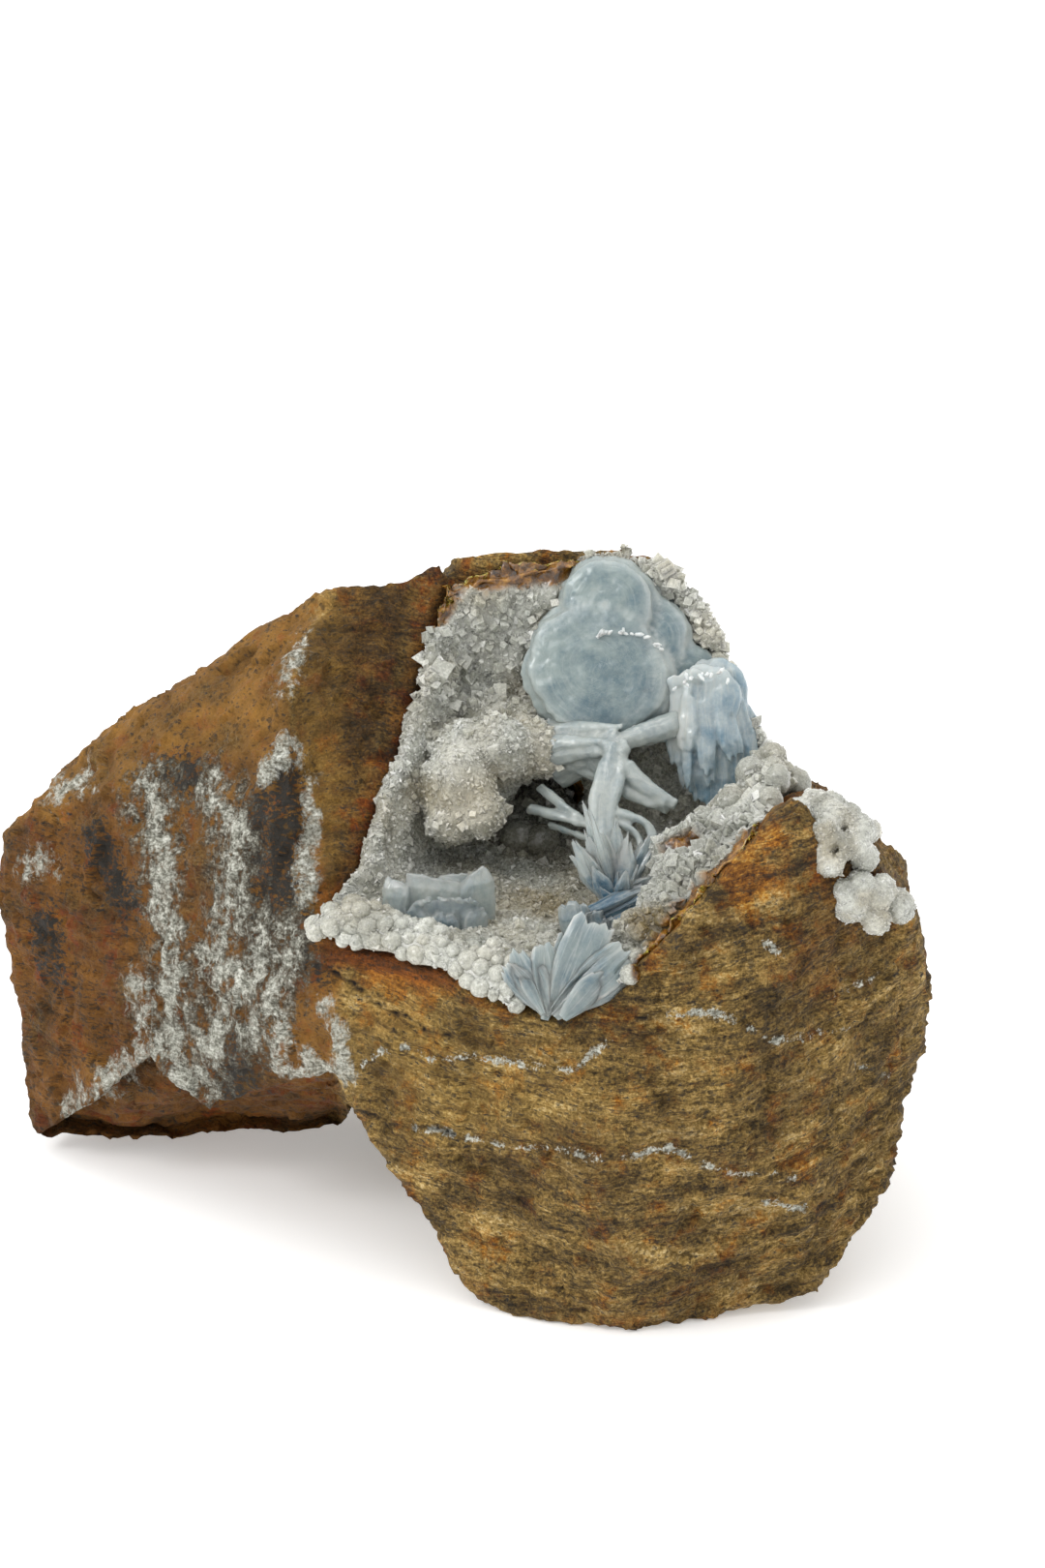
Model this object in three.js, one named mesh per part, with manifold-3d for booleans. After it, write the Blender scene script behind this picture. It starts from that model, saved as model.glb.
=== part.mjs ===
// Blue barite on its matrix: a broken lump of brown limonite-stained schist with an open hollow.
// The hollow is lined with a crust of small pale crystals, a knob of the same crystals stands out of
// its back wall, and clusters of blue barite grow from the crust. White rounded nodules sit on the
// right-hand peak of the rock.
// Millimetres, +Z up, -Y towards the open side of the hollow.

import * as THREE from "three";
import { ConvexGeometry } from "three/addons/geometries/ConvexGeometry.js";
import { ImprovedNoise } from "three/addons/math/ImprovedNoise.js";
import { mergeVertices } from "three/addons/utils/BufferGeometryUtils.js";
import Module from "manifold-3d";

// Driving dimensions
const CLEARANCE = 0.4; // left between pieces that touch
const ROCK_EDGE = 8.5; // longest facet edge on the broken rock
const ROCK_RELIEF = 1.2; // height of the rock's lumps and hollows
const ROCK_GRAIN = 12; // distance from one lump of rock to the next
const LINING_EDGE = 8; // longest facet edge on the wall of the hollow, under the crust
const LINING_RELIEF = 0.4; // height of that wall's lumps
const CRUST_EDGE = 4.6; // longest facet edge on the crust
const CRUST_RELIEF = 0.85; // how far its small crystals stand out
const CRUST_GRAIN = 3; // distance from one small crystal to the next
const FINEST = 1; // facet edges shorter than this are drawn together
const CRUST_LIFT = new THREE.Vector3(0, -2.6, 3); // the crust's thickness, forwards and up
const CRUST_INSET = 1.8; // its thickness along the left edge
const CRUST_PROUD = 0.9; // how far the crust's broken edge stands out of the rock
const SOLE_DEPTH = 1.4; // the feet reach this far down before their soles are cut flat
const OPEN_TOP = 95; // the hollow is open upwards, past the top of the rock
const OPEN_FRONT = -9; // and forwards, past the front of the rock
const WIDEST = 0.65; // how far along its length a blade is widest
const BLADE_BEVEL = 0.3; // its bevels, as a share of its thickness
const PLATE_BEVEL = 0.15; // a round plate's bevels, as a share of its radius
const PLATE_UNEVEN = 0.05; // and how unevenly round it is
const NEEDLE_SIDES = 6;

const wasm = await Module();
wasm.setup();

// Solids from three.js geometry, and back

function solidFrom(geometry) {
  const bare = geometry.clone();
  bare.deleteAttribute("normal");
  bare.deleteAttribute("uv");
  const merged = mergeVertices(bare, 1e-4);
  return new wasm.Manifold(
    new wasm.Mesh({
      numProp: 3,
      vertProperties: new Float32Array(merged.attributes.position.array),
      triVerts: new Uint32Array(merged.index.array),
    }),
  );
}

const vector = (p) => (p.isVector3 ? p.clone() : new THREE.Vector3(...p));
const hull = (points) => solidFrom(new ConvexGeometry(points.map(vector)));
const union = (solids) => solids.reduce((whole, next) => whole.add(next));

// A solid's corners as vectors, and its triangles as triples of corner numbers
function facetsOf(solid) {
  const mesh = solid.getMesh();
  const corners = [];
  for (let i = 0; i < mesh.numVert; i++) {
    corners.push(new THREE.Vector3().fromArray(mesh.vertProperties, i * mesh.numProp));
  }
  const triangles = [];
  for (let i = 0; i < mesh.triVerts.length; i += 3) {
    triangles.push(Array.from(mesh.triVerts.slice(i, i + 3)));
  }
  return { corners, triangles };
}

function solidOf({ corners, triangles }) {
  return new wasm.Manifold(
    new wasm.Mesh({
      numProp: 3,
      vertProperties: new Float32Array(corners.flatMap((c) => c.toArray())),
      triVerts: new Uint32Array(triangles.flat()),
    }),
  );
}

const keyOf = (a, b) => (a < b ? `${a},${b}` : `${b},${a}`);
const faceNormal = (a, b, c) => b.clone().sub(a).cross(c.clone().sub(a));

// Draws together neighbouring corners that are closer than a limit, where that turns no facet over
function weld({ corners, triangles }, limit) {
  corners = corners.map((c) => c.clone());
  for (let drawn = 1; drawn; ) {
    drawn = 0;
    const around = corners.map(() => new Set());
    triangles.forEach((t, i) => t.forEach((corner) => around[corner].add(i)));
    const neighbours = (c) => new Set([...around[c]].flatMap((i) => triangles[i]));
    const short = new Map();
    for (const t of triangles) {
      for (const [a, b] of [[t[0], t[1]], [t[1], t[2]], [t[2], t[0]]]) {
        if (corners[a].distanceTo(corners[b]) < limit) {
          short.set(keyOf(a, b), [a, b]);
        }
      }
    }
    const byLength = [...short.values()].sort(
      (p, q) => corners[p[0]].distanceTo(corners[p[1]]) - corners[q[0]].distanceTo(corners[q[1]]),
    );
    const busy = new Set();
    for (const [a, b] of byLength) {
      const near = [...neighbours(a), ...neighbours(b)];
      const shared = [...neighbours(a)].filter((c) => neighbours(b).has(c));
      if (shared.length !== 4 || near.some((c) => busy.has(c))) {
        continue;
      }
      const middle = corners[a].clone().lerp(corners[b], 0.5);
      const kept = [...new Set([...around[a], ...around[b]])].filter(
        (i) => !(triangles[i].includes(a) && triangles[i].includes(b)),
      );
      const turnsOver = kept.some((i) => {
        const before = triangles[i].map((c) => corners[c]);
        const after = triangles[i].map((c) => (c === a || c === b ? middle : corners[c]));
        const [was, is] = [faceNormal(...before), faceNormal(...after)];
        return is.length() < 1e-3 || (was.length() > 0.05 && was.normalize().dot(is.normalize()) < 0.3);
      });
      if (turnsOver) {
        continue;
      }
      corners[a] = middle;
      kept.forEach((i) => (triangles[i] = triangles[i].map((c) => (c === b ? a : c))));
      around[a].forEach((i) => triangles[i]?.includes(b) && (triangles[i] = null));
      near.forEach((c) => busy.add(c));
      drawn++;
    }
    triangles = triangles.filter((t) => t && new Set(t).size === 3);
  }
  return compact({ corners, triangles });
}

// The facets of the biggest connected shell alone, without the crumbs that a cut leaves
function mainShell({ corners, triangles }) {
  const leader = corners.map((_, i) => i);
  const leaderOf = (i) => (leader[i] === i ? i : (leader[i] = leaderOf(leader[i])));
  for (const [a, b, c] of triangles) {
    leader[leaderOf(b)] = leaderOf(a);
    leader[leaderOf(c)] = leaderOf(a);
  }
  const sizes = new Map();
  for (const [a] of triangles) {
    sizes.set(leaderOf(a), (sizes.get(leaderOf(a)) ?? 0) + 1);
  }
  const [biggest] = [...sizes].sort((p, q) => q[1] - p[1])[0];
  return compact({ corners, triangles: triangles.filter(([a]) => leaderOf(a) === biggest) });
}

// The same facets without the corners that none of them uses
function compact({ corners, triangles }) {
  const used = [...new Set(triangles.flat())];
  const place = new Map(used.map((corner, i) => [corner, i]));
  return {
    corners: used.map((corner) => corners[corner]),
    triangles: triangles.map((t) => t.map((corner) => place.get(corner))),
  };
}

// Halves every edge that is longest in one of its triangles and over the limit, until none is left
function split({ corners, triangles }, limit) {
  const lengthOf = (a, b) => corners[a].distanceTo(corners[b]);
  for (;;) {
    const middles = new Map();
    for (const t of triangles) {
      const edges = [0, 1, 2].map((i) => [t[i], t[(i + 1) % 3]]);
      const [a, b] = edges.sort((p, q) => lengthOf(...q) - lengthOf(...p))[0];
      if (lengthOf(a, b) > limit && !middles.has(keyOf(a, b))) {
        middles.set(keyOf(a, b), corners.length);
        corners.push(corners[a].clone().lerp(corners[b], 0.5));
      }
    }
    if (!middles.size) {
      return { corners, triangles };
    }
    triangles = triangles.flatMap((t) => splitTriangle(t, (a, b) => middles.get(keyOf(a, b))));
  }
}

function splitTriangle([a, b, c], middleOf) {
  const [ab, bc, ca] = [middleOf(a, b), middleOf(b, c), middleOf(c, a)];
  const cuts = [ab, bc, ca].filter((m) => m !== undefined).length;
  if (cuts === 0) {
    return [[a, b, c]];
  }
  if (cuts === 3) {
    return [[a, ab, ca], [ab, b, bc], [ca, bc, c], [ab, bc, ca]];
  }
  if (ab === undefined || (cuts === 2 && ca !== undefined)) {
    return splitTriangle([b, c, a], middleOf);
  }
  if (cuts === 1) {
    return [[a, ab, c], [ab, b, c]];
  }
  return [[ab, b, bc], [a, ab, c], [ab, bc, c]];
}

// Moves each corner along its own normal, by a distance that may depend on the place
function displace({ corners, triangles }, distanceAt) {
  const normals = corners.map(() => new THREE.Vector3());
  for (const t of triangles) {
    const normal = faceNormal(...t.map((corner) => corners[corner]));
    t.forEach((corner) => normals[corner].add(normal));
  }
  return {
    corners: corners.map((c, i) => c.clone().addScaledVector(normals[i].normalize(), distanceAt(c))),
    triangles,
  };
}

const field = new ImprovedNoise();

// Two octaves of smooth noise, from about -1 to 1
function lumps(p, size) {
  const [x, y, z] = p.toArray().map((v) => v / size + 31.7);
  return 1.3 * field.noise(x, y, z) + 0.7 * field.noise(2.3 * x, 2.3 * y, 2.3 * z);
}

// Breaks a solid's plain faces up into uneven facets
const roughen = (solid, edge, height, size) =>
  displace(split(weld(facetsOf(solid), edge / 4), edge), (p) => height * lumps(p, size));

const tidied = (solid, finest = FINEST) => solidOf(mainShell(weld(facetsOf(solid), finest)));

// The rock: five broken blocks that are one piece, each a hull of its main corners

const frontBlock = hull([
  [2, 1, -SOLE_DEPTH], [18, 0, -SOLE_DEPTH], [4, 9, -SOLE_DEPTH], [22, 10, -SOLE_DEPTH],
  [-4, 4, 0], [11, -1.5, 3], [36, 4, 2.5], [42.5, 7, 9], [43, 8, 15], [12, -4, 14],
  [48.5, 12, 30], [48.5, 12, 41], [47, 11, 48], [44.6, 10, 54], [41, 9, 58.8],
  [37, 9, 63], [29, 8, 62], [26, -4, 32], [30, -2, 47], [10, -4.5, 30],
  [3, 1, 41], [-12, 10, 46], [-25.5, 16, 45], [-27, 15, 39], [-21.5, 11, 24.5],
  [-18, 9, 19], [-12, 7, 10.5], [-24, 30, 24], [-14, 30, 14], [2, 26, 11.5],
  [30, 26, 11], [42, 32, 12], [49, 30, 30], [46, 28, 49], [35.5, 22, 59.5],
]);

const rearBlock = hull([
  [-17, 49, -SOLE_DEPTH], [-14, 62, -SOLE_DEPTH], [28, 48, -SOLE_DEPTH], [27, 61, -SOLE_DEPTH],
  [-22, 30, 20], [-20, 44, 6], [4, 28, 11.5], [32, 28, 11.5], [42, 32, 14], [48, 36, 32],
  [43, 32, 51], [35, 24, 59.4], [31, 30, 59.4], [37, 60, 14], [41, 58, 34], [33, 60.5, 50],
  [-22, 68, 18], [8, 73, 22], [14, 74.5, 42], [-20, 71, 47], [-22, 20, 44],
]);

// The right side, where the front and rear blocks run into each other
const rightSide = hull([
  [43, 8, 15], [48.5, 12, 30], [48.5, 12, 41], [47, 11, 48], [44.6, 10, 54], [49, 30, 30],
  [46, 28, 49], [35.5, 22, 59.5], [42, 32, 13.5], [48, 36, 32], [43, 32, 51], [37, 60, 15],
  [41, 58, 34], [34, 58, 50], [20, 20, 22], [20, 46, 22], [30, 24, 58],
]);

const backWall = hull([
  [-9, 47, 77], [-3, 47, 76.4], [2, 47, 76], [8, 47, 77], [16.5, 47, 78.4], [19, 46, 74.6],
  [-9, 54, 78.8], [2, 55, 79.4], [11, 54.5, 80.8], [17, 53, 80.8], [20.5, 50, 75.2],
  [22.4, 46, 70.6], [24, 43, 67], [26, 40, 64], [28.5, 35, 59.6], [31, 30, 58],
  [-14, 60, 72], [4, 61, 72], [17, 58, 71], [-19, 70, 47], [13, 73.5, 42], [31, 59, 49],
  [36, 46, 42], [-18, 40, 42], [21.5, 56, 65],
]);

// The edge along which the brown broken face of the left block meets the crystals, from the front up
const leftEdge = [
  [-25.7, 17, 45.2], [-20.3, 24, 49], [-18.4, 29, 53.9], [-15.5, 35, 59],
  [-13.2, 42, 66], [-12.2, 46, 72], [-10.3, 50, 79],
];

// The sharp ridge on the other side of that broken face
const brokenRidge = [[-27, 17, 45], [-24, 22, 52], [-28.5, 30, 64.5], [-28.6, 38, 69.5], [-23, 50, 77.8]];

const leftBlock = hull([
  ...brokenRidge, [-20, 50.5, 76.4], [-26, 51, 75.4], [-30, 52, 74],
  [-34, 54, 70.2], [-41, 57, 64], [-47, 58, 60], [-57, 60, 50], [-64, 60, 44.5],
  [-67.5, 57, 41], [-68, 55, 36], [-66.5, 53, 26], [-65.5, 50, 16], [-65, 49, 10],
  [-63.8, 46, 2.2], [-52, 44, 3.6], [-44, 44, 3.2], [-24, 46, 3.6], [-58, 40, 9.5],
  [-45, 30, 19], [-43, 28, 17.5], [-38, 24, 17.5], [-31, 21, 20.5], [-22, 15, 25],
  [-27, 16.5, 40], [-36, 36, 61], [-47, 44, 55], [-64, 52, 46],
  [-18, 68, 60], [-42, 72, 48], [-60, 71, 34], [-59, 68, 9], [-40, 72, 8], [-20, 72, 14],
  [-14, 64, 66], ...leftEdge, [-8, 34, 58], [-8, 30, 44], [-6, 44, 70], [-6, 44, 44],
]);

// What broke away there, in front of the face and to its right
const breakWay = new THREE.Vector3(26, -20, 22);
const brokenAway = hull(
  [...brokenRidge, ...leftEdge].map(vector).flatMap((p) => [p, p.clone().add(breakWay)]),
);

const ground = solidFrom(new THREE.BoxGeometry(300, 300, 40).translate(0, 0, -20));
const rockFacets = roughen(
  union([frontBlock, rearBlock, rightSide, backWall, leftBlock]).subtract(brokenAway),
  ROCK_EDGE, ROCK_RELIEF, ROCK_GRAIN,
);
const rockMass = solidOf(rockFacets);

// The hollow: a shelf behind the low front rim and a niche before the back wall. For the space that
// the crust leaves free, a shift moves its floor and walls and an inset moves its left edge.

function hollow(shift, inset) {
  const wayOut = new THREE.Vector3(-5 - 3 * inset, -35, 45);
  const edge = (from, to) =>
    leftEdge.slice(from, to).map(vector).map((p) => p.add(new THREE.Vector3(inset, 0, 0)));
  const open = (points) => points.flatMap((p) => [p, p.clone().add(wayOut)]);
  const blocks = [
    [
      ...open(edge(0, 2)), [-26, OPEN_FRONT, 45.2], [-26, 14, 45.2], [-9, OPEN_FRONT, 45], [-9, 9, 45],
      [inset - 16, 25, 43.6], [-6, 25, 43.3], [-9, OPEN_FRONT, OPEN_TOP], [-6, 25, OPEN_TOP],
    ],
    [
      [-9, OPEN_FRONT, 45], [-9, 9, 45], [3.5, OPEN_FRONT, 40.2], [3.5, 6, 40.2], [-10, 25, 43.3],
      [4, 28, 41.5], [-9, OPEN_FRONT, OPEN_TOP], [3.5, OPEN_FRONT, OPEN_TOP], [-10, 25, OPEN_TOP],
      [4, 28, OPEN_TOP],
    ],
    [
      ...[[3.5, 40.2], [8, 43.2], [12.2, 47], [22.1, 56.1], [28.4, 63.2]].flatMap(([x, z]) => [
        [x, OPEN_FRONT, z], [x, 8, z],
      ]),
      [4, 28, 41.5], [18, 30, 43], [31, 26, 58.5], [46, 26, OPEN_TOP], [4, 28, OPEN_TOP],
      [3.5, OPEN_FRONT, OPEN_TOP], [40, OPEN_FRONT, OPEN_TOP],
    ],
    [
      ...open(edge(1, 7)), [inset - 16, 25, 43.6], [inset - 13, 40, 42.3], [inset - 9, 47, 42.8],
      [4, 49, 41.8], [18, 47, 43], [26, 38, 47], [31, 26, 58.5], [4, 26, 41.5], [18, 28, 43],
      [inset - 10, 52.8, OPEN_TOP], [6, 53.8, OPEN_TOP], [21, 51.5, 84], [27, 47.5, 74],
      [30.5, 42, 66.5], [33, 35, 61], [46, 26, OPEN_TOP], [46, 30, 70],
    ],
    [
      [inset - 7, 44, 43.5], [9, 44, 43], [inset - 6, 44, 50], [9, 44, 51],
      [inset - 4, 59, 45], [6, 60, 45], [inset - 3, 58, 49], [5, 59, 50],
    ],
  ];
  return union(blocks.map((points) => hull(points.map((p) => vector(p).add(shift)))));
}

const lining = roughen(hollow(new THREE.Vector3(), 0), LINING_EDGE, LINING_RELIEF, ROCK_GRAIN);

// Crystal shapes. Each returns a function of an allowance, which makes the same shape that much
// larger all round, so that the crust can be cut to fit it.

// A tabular crystal: narrow at its root, broad past its middle, chisel-pointed, with bevelled edges
function blade(root, tip, facing, width, thick, waist = 0.45, point = 0.4) {
  return (allowance) => {
    const start = vector(root);
    const along = vector(tip).sub(start);
    const length = along.length();
    along.normalize();
    const across = vector(facing).cross(along).normalize();
    const out = along.clone().cross(across);
    const bevel = BLADE_BEVEL * thick;
    const stations = [[-allowance, waist], [WIDEST * length, 1], [length + allowance, point]];
    const points = stations.flatMap(([distance, share]) =>
      [-1, 1].flatMap((side) => {
        const half = (share * width) / 2 + allowance;
        const at = start.clone().addScaledVector(along, distance);
        return [
          at.clone().addScaledVector(across, side * half),
          ...[-1, 1].map((face) =>
            at.clone().addScaledVector(across, side * Math.max(half - bevel, 0.2))
              .addScaledVector(out, face * (thick / 2 + allowance)),
          ),
        ];
      }),
    );
    return hull(points);
  };
}

// A rounded plate with a bevelled, slightly uneven rim
function plate(centre, facing, radius, thick, sides = 13) {
  return (allowance) => {
    const out = vector(facing).normalize();
    const across = out.clone().cross(new THREE.Vector3(0, 0, 1)).normalize();
    const up = across.clone().cross(out);
    const points = [];
    for (let i = 0; i < sides; i++) {
      const turn = (2 * Math.PI * i) / sides;
      const spoke = across.clone().multiplyScalar(Math.cos(turn)).addScaledVector(up, Math.sin(turn));
      const reach = radius * (1 + PLATE_UNEVEN * Math.sin(5.3 * i)) + allowance;
      for (const [share, face] of [[1, 0], [1 - PLATE_BEVEL, -1], [1 - PLATE_BEVEL, 1]]) {
        points.push(
          vector(centre).addScaledVector(spoke, share * reach)
            .addScaledVector(out, face * (thick / 2 + allowance)),
        );
      }
    }
    return hull(points);
  };
}

// A bent needle of crystal: straight six-sided lengths from point to point
function needle(points, width) {
  return (allowance) =>
    union(
      points.slice(1).map((end, i) => {
        const [a, b] = [vector(points[i]), vector(end)];
        const along = b.clone().sub(a).normalize();
        const across = along.clone().cross(new THREE.Vector3(0.3, -0.9, 0.2)).normalize();
        const out = across.clone().cross(along);
        const ring = [];
        for (const [centre, way] of [[a, -1], [b, 1]]) {
          for (let k = 0; k < NEEDLE_SIDES; k++) {
            const turn = (2 * Math.PI * k) / NEEDLE_SIDES;
            ring.push(
              centre.clone()
                .addScaledVector(along, way * (allowance + width / 6))
                .addScaledVector(across, Math.cos(turn) * (width / 2 + allowance))
                .addScaledVector(out, Math.sin(turn) * (width / 2 + allowance)),
            );
          }
        }
        return hull(ring);
      }),
    );
}

const cluster = (shapes, allowance = 0) => union(shapes.map((shape) => shape(allowance)));

// The main cluster: two rounded plates high on the back wall, the sheaf that hangs at their right,
// the arch and strand, and the fan in the middle of the hollow

const PLATE_FACING = [-0.12, -0.9, 0.42];
const roundPlates = [
  plate([8.8, 43.6, 68.6], PLATE_FACING, 9.2, 3.2),
  plate([12, 41.6, 67.4], PLATE_FACING, 7.3, 2.4),
  plate([10.9, 47.4, 75.4], PLATE_FACING, 6.6, 3),
  plate([15.4, 46.6, 71.2], PLATE_FACING, 6.2, 3),
  plate([20.4, 44.8, 66.8], [0.2, -0.9, 0.38], 4.8, 3),
];

const SHEAF_FACING = [-0.25, -0.9, 0.3];
const sheaf = [
  plate([23, 41, 65], SHEAF_FACING, 4.5, 3.4, 9),
  blade([20.4, 41, 66.5], [20.6, 37, 57.5], SHEAF_FACING, 4.6, 2.2, 0.8),
  blade([22.8, 40.5, 66], [23.6, 36.2, 55], SHEAF_FACING, 5, 2.4, 0.8),
  blade([24.6, 40.6, 66], [26.6, 37, 53.6], [0.1, -0.95, 0.3], 4.6, 2.4, 0.8),
  blade([26, 41, 64.5], [28.2, 38.2, 56.4], [0.3, -0.9, 0.3], 4, 2.2, 0.8),
];

const arch = [
  needle([[1.5, 41, 59.5], [5, 38, 60.2], [8.4, 36, 61.2], [11.9, 34.5, 62]], 2.4),
  needle([[11.9, 34.5, 62], [16.1, 37, 62.8], [20.5, 40, 63.4]], 2.4),
  needle([[11.9, 34.5, 62], [10.9, 31, 58.2], [10.3, 28, 55], [10.6, 24.5, 52], [11, 21.5, 49.5]], 2),
  needle([[11.5, 34, 60], [15.5, 32.4, 57.6], [18.6, 31, 56.4]], 2),
  needle([[10.4, 28.6, 56], [14.6, 28, 55.2], [16.6, 27, 53], [16, 23.5, 50]], 1.3),
  needle([[1, 37, 52.4], [8.1, 31, 52.6], [10.6, 28.5, 54]], 1.3),
];

const fan = [
  blade([11.4, 19.6, 46], [7.2, 23.6, 59], [-0.5, -0.8, 0.3], 2.4, 1.1),
  blade([11, 19.6, 46.5], [6, 21.8, 55], [-0.2, -0.9, 0.3], 3.4, 1.2),
  blade([11.6, 19.4, 46.5], [9.8, 22.4, 56], [0.1, -0.9, 0.35], 3.2, 1.3),
  blade([11.8, 19.4, 46.5], [12.9, 22, 55.4], [-0.1, -0.9, 0.35], 4.2, 1.4),
  blade([12, 19.8, 46.5], [15.4, 22.6, 55.2], [0.6, -0.75, 0.3], 2.6, 1.1),
  blade([11.8, 20.4, 46.5], [5.4, 24, 51.6], [-0.3, -0.8, 0.5], 2.6, 1.1),
  blade([7.8, 17.6, 45.6], [16.4, 19.4, 49.6], [0.1, -0.85, 0.5], 4.2, 2.4, 0.7, 0.6),
  blade([7.2, 17.4, 42.5], [6.6, 16.6, 49], [-0.2, -0.95, 0.2], 5.4, 2.6, 0.9, 0.7),
  blade([9.6, 17, 42.6], [9.4, 16.2, 47.4], [0.3, -0.9, 0.2], 3.6, 2, 0.9, 0.7),
  blade([11.8, 19.8, 42.5], [11.8, 19.8, 49], [0, -1, 0.2], 4.4, 2.4, 0.8, 0.7),
];

const mainCluster = [...roundPlates, ...sheaf, ...arch, ...fan];

// The left cluster: see-through tablets side by side behind the front rim

const leftTablets = [
  blade([-15.4, 19.4, 45], [-14.6, 20.6, 50.6], [-0.4, -0.85, 0.2], 5, 2.6, 0.9, 0.8),
  blade([-11.3, 20.5, 44.8], [-10.4, 21.6, 51], [0.1, -0.95, 0.25], 7.6, 3, 0.9, 0.8),
  blade([-5.8, 20.4, 44.8], [-5.4, 21.2, 51.8], [0.25, -0.9, 0.2], 6.6, 2.8, 0.95, 0.3),
  blade([-12, 17.6, 45], [-9.6, 17.4, 49.4], [-0.3, -0.85, 0.5], 5.4, 2, 0.8, 0.8),
  blade([-6.7, 17.4, 44.6], [-7.6, 17.6, 49], [0.35, -0.85, 0.45], 6, 2, 0.9, 0.6),
];

// The front cluster: a fan of leaves from one root at the lowest place of the rim

const frontLeaves = [
  blade([3.6, 0.5, 38.7], [-1.6, 3, 46.8], [-0.25, -0.95, 0.2], 3.6, 1.5, 0.4),
  blade([3.8, 0.7, 38.7], [2.2, 3.6, 48.6], [0.2, -0.95, 0.25], 4.8, 1.6, 0.4, 0.5),
  blade([4, 0.9, 38.7], [6.2, 4.4, 47.2], [-0.3, -0.9, 0.2], 3.6, 1.4, 0.4),
  blade([4.2, 0.9, 38.9], [10, 4.4, 49.8], [0.15, -0.95, 0.3], 5, 1.7, 0.35, 0.5),
  blade([4.4, 0.7, 39.5], [12.6, 3.2, 47.6], [0.1, -0.9, 0.45], 4.8, 2, 0.4, 0.5),
  blade([4, 2.9, 38.9], [8.4, 5.4, 46.6], [-0.2, -0.85, 0.5], 5, 2.6, 0.7, 0.6),
];

// Rounded lumps of small crystals: faceted balls grown into each other

const ball = ([x, y, z, radius]) =>
  solidFrom(new THREE.OctahedronGeometry(radius, 1).rotateX(x).rotateZ(y + z).translate(x, y, z));

const knob = roughen(
  union(
    [
      [-8.2, 34.2, 56.8, 5], [-8.8, 32.6, 53.4, 4], [-5, 31.2, 54, 3.3], [-7.2, 37.5, 59.4, 4.6],
      [-2.4, 38, 60.4, 4.4], [2.4, 40.6, 59.2, 4.3], [6, 42.4, 59.4, 3.6], [-5, 42, 57, 6],
      [2, 45.6, 59.6, 5], [-4, 45.6, 61, 4.5],
    ].map(ball),
  ),
  CRUST_EDGE, CRUST_RELIEF / 2, CRUST_GRAIN,
);

const rimLumps = [
  [-24.4, 14.8, 46, 1.7], [-22.2, 15, 46.8, 2.3], [-19.6, 15.4, 47.2, 2.6], [-16.9, 13.8, 46.6, 2.5],
  [-14.6, 12, 46.2, 2.2], [-12.2, 10.6, 45.8, 2.2], [-9.7, 9.4, 45.6, 2], [-7.4, 8, 45, 2.1],
  [-5, 7, 44.6, 2], [-3, 5.8, 44.2, 1.9], [-3.2, 7, 46.2, 1.6], [-0.9, 5.2, 43.8, 2],
  [1, 4.6, 42.6, 1.8], [14, 6.6, 49.6, 2.4], [12, 7.6, 47.8, 2.4], [16.6, 7.4, 51.6, 2.3],
];

const rightMassLumps = [
  [17, 12, 49.6, 3.6], [19.6, 15.6, 52.4, 3.8], [22.6, 15, 54, 3.2], [18.4, 20.6, 53, 3.4],
  [22.4, 20.4, 55.4, 3.4], [25.6, 18.4, 56.6, 3], [26, 24, 57, 3.2], [28.8, 20, 59.4, 2.2],
  [28.9, 27.4, 60, 2.6], [31, 24.6, 60, 2.2], [30.6, 31, 60.4, 2.4],
];

// The crust: the lining's skin, broken off along the rock's own faces, with the lumps grown onto it

const freeSpace = solidOf(
  roughen(hollow(CRUST_LIFT, CRUST_INSET), CRUST_EDGE, CRUST_RELIEF, CRUST_GRAIN),
);
const insideLining = solidOf(displace(lining, () => -CLEARANCE));
const matrix = tidied(
  rockMass.subtract(solidOf(lining)).subtract(cluster([...mainCluster, ...leftTablets], CLEARANCE)),
).subtract(ground);
const matrixSkin = solidOf(displace(rockFacets, () => CLEARANCE)).subtract(insideLining);
const skin = insideLining
  .intersect(
    solidOf(
      displace(split(rockFacets, CRUST_EDGE), (p) => CRUST_PROUD + CRUST_RELIEF * lumps(p, CRUST_GRAIN)),
    ),
  )
  .subtract(freeSpace);
const grownSkin = tidied(union([
  skin,
  solidOf(knob).intersect(insideLining),
  union([...rimLumps, ...rightMassLumps].map(ball)).intersect(insideLining),
]));
const crust = tidied(
  grownSkin.subtract(cluster([...mainCluster, ...leftTablets, ...frontLeaves], CLEARANCE)),
  FINEST / 2,
);

// White nodules on the outside of the peak, in an upper and a lower group

const nodules = (lumps) => tidied(union(lumps.map(ball)).subtract(matrixSkin));

const upperNodules = nodules([
  [33.4, 11, 62.2, 2.1], [35, 10.6, 62.8, 2.4], [37.6, 10, 62.4, 2.2],
  [39.8, 9.6, 60.6, 2.1], [33.6, 8, 59.8, 1.9], [35.2, 7.8, 60.8, 2.2], [37.6, 7.6, 59.8, 2.2],
  [39.6, 7.6, 58.8, 1.8], [36, 6.2, 58.2, 1.7],
]);
const lowerNodules = nodules([
  [37.2, 5.6, 54.4, 1.8], [39.4, 6.2, 54.6, 2.1], [41.6, 7.2, 53.6, 2.2], [43.6, 8.4, 52, 2],
  [38.8, 5, 52.4, 1.6], [41.2, 5.8, 51.6, 1.8],
]);

// The pieces, each with its own finish

const root = new THREE.Group();
const finish = (colour, roughness) =>
  new THREE.MeshStandardMaterial({ color: colour, roughness, metalness: 0 });

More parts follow.
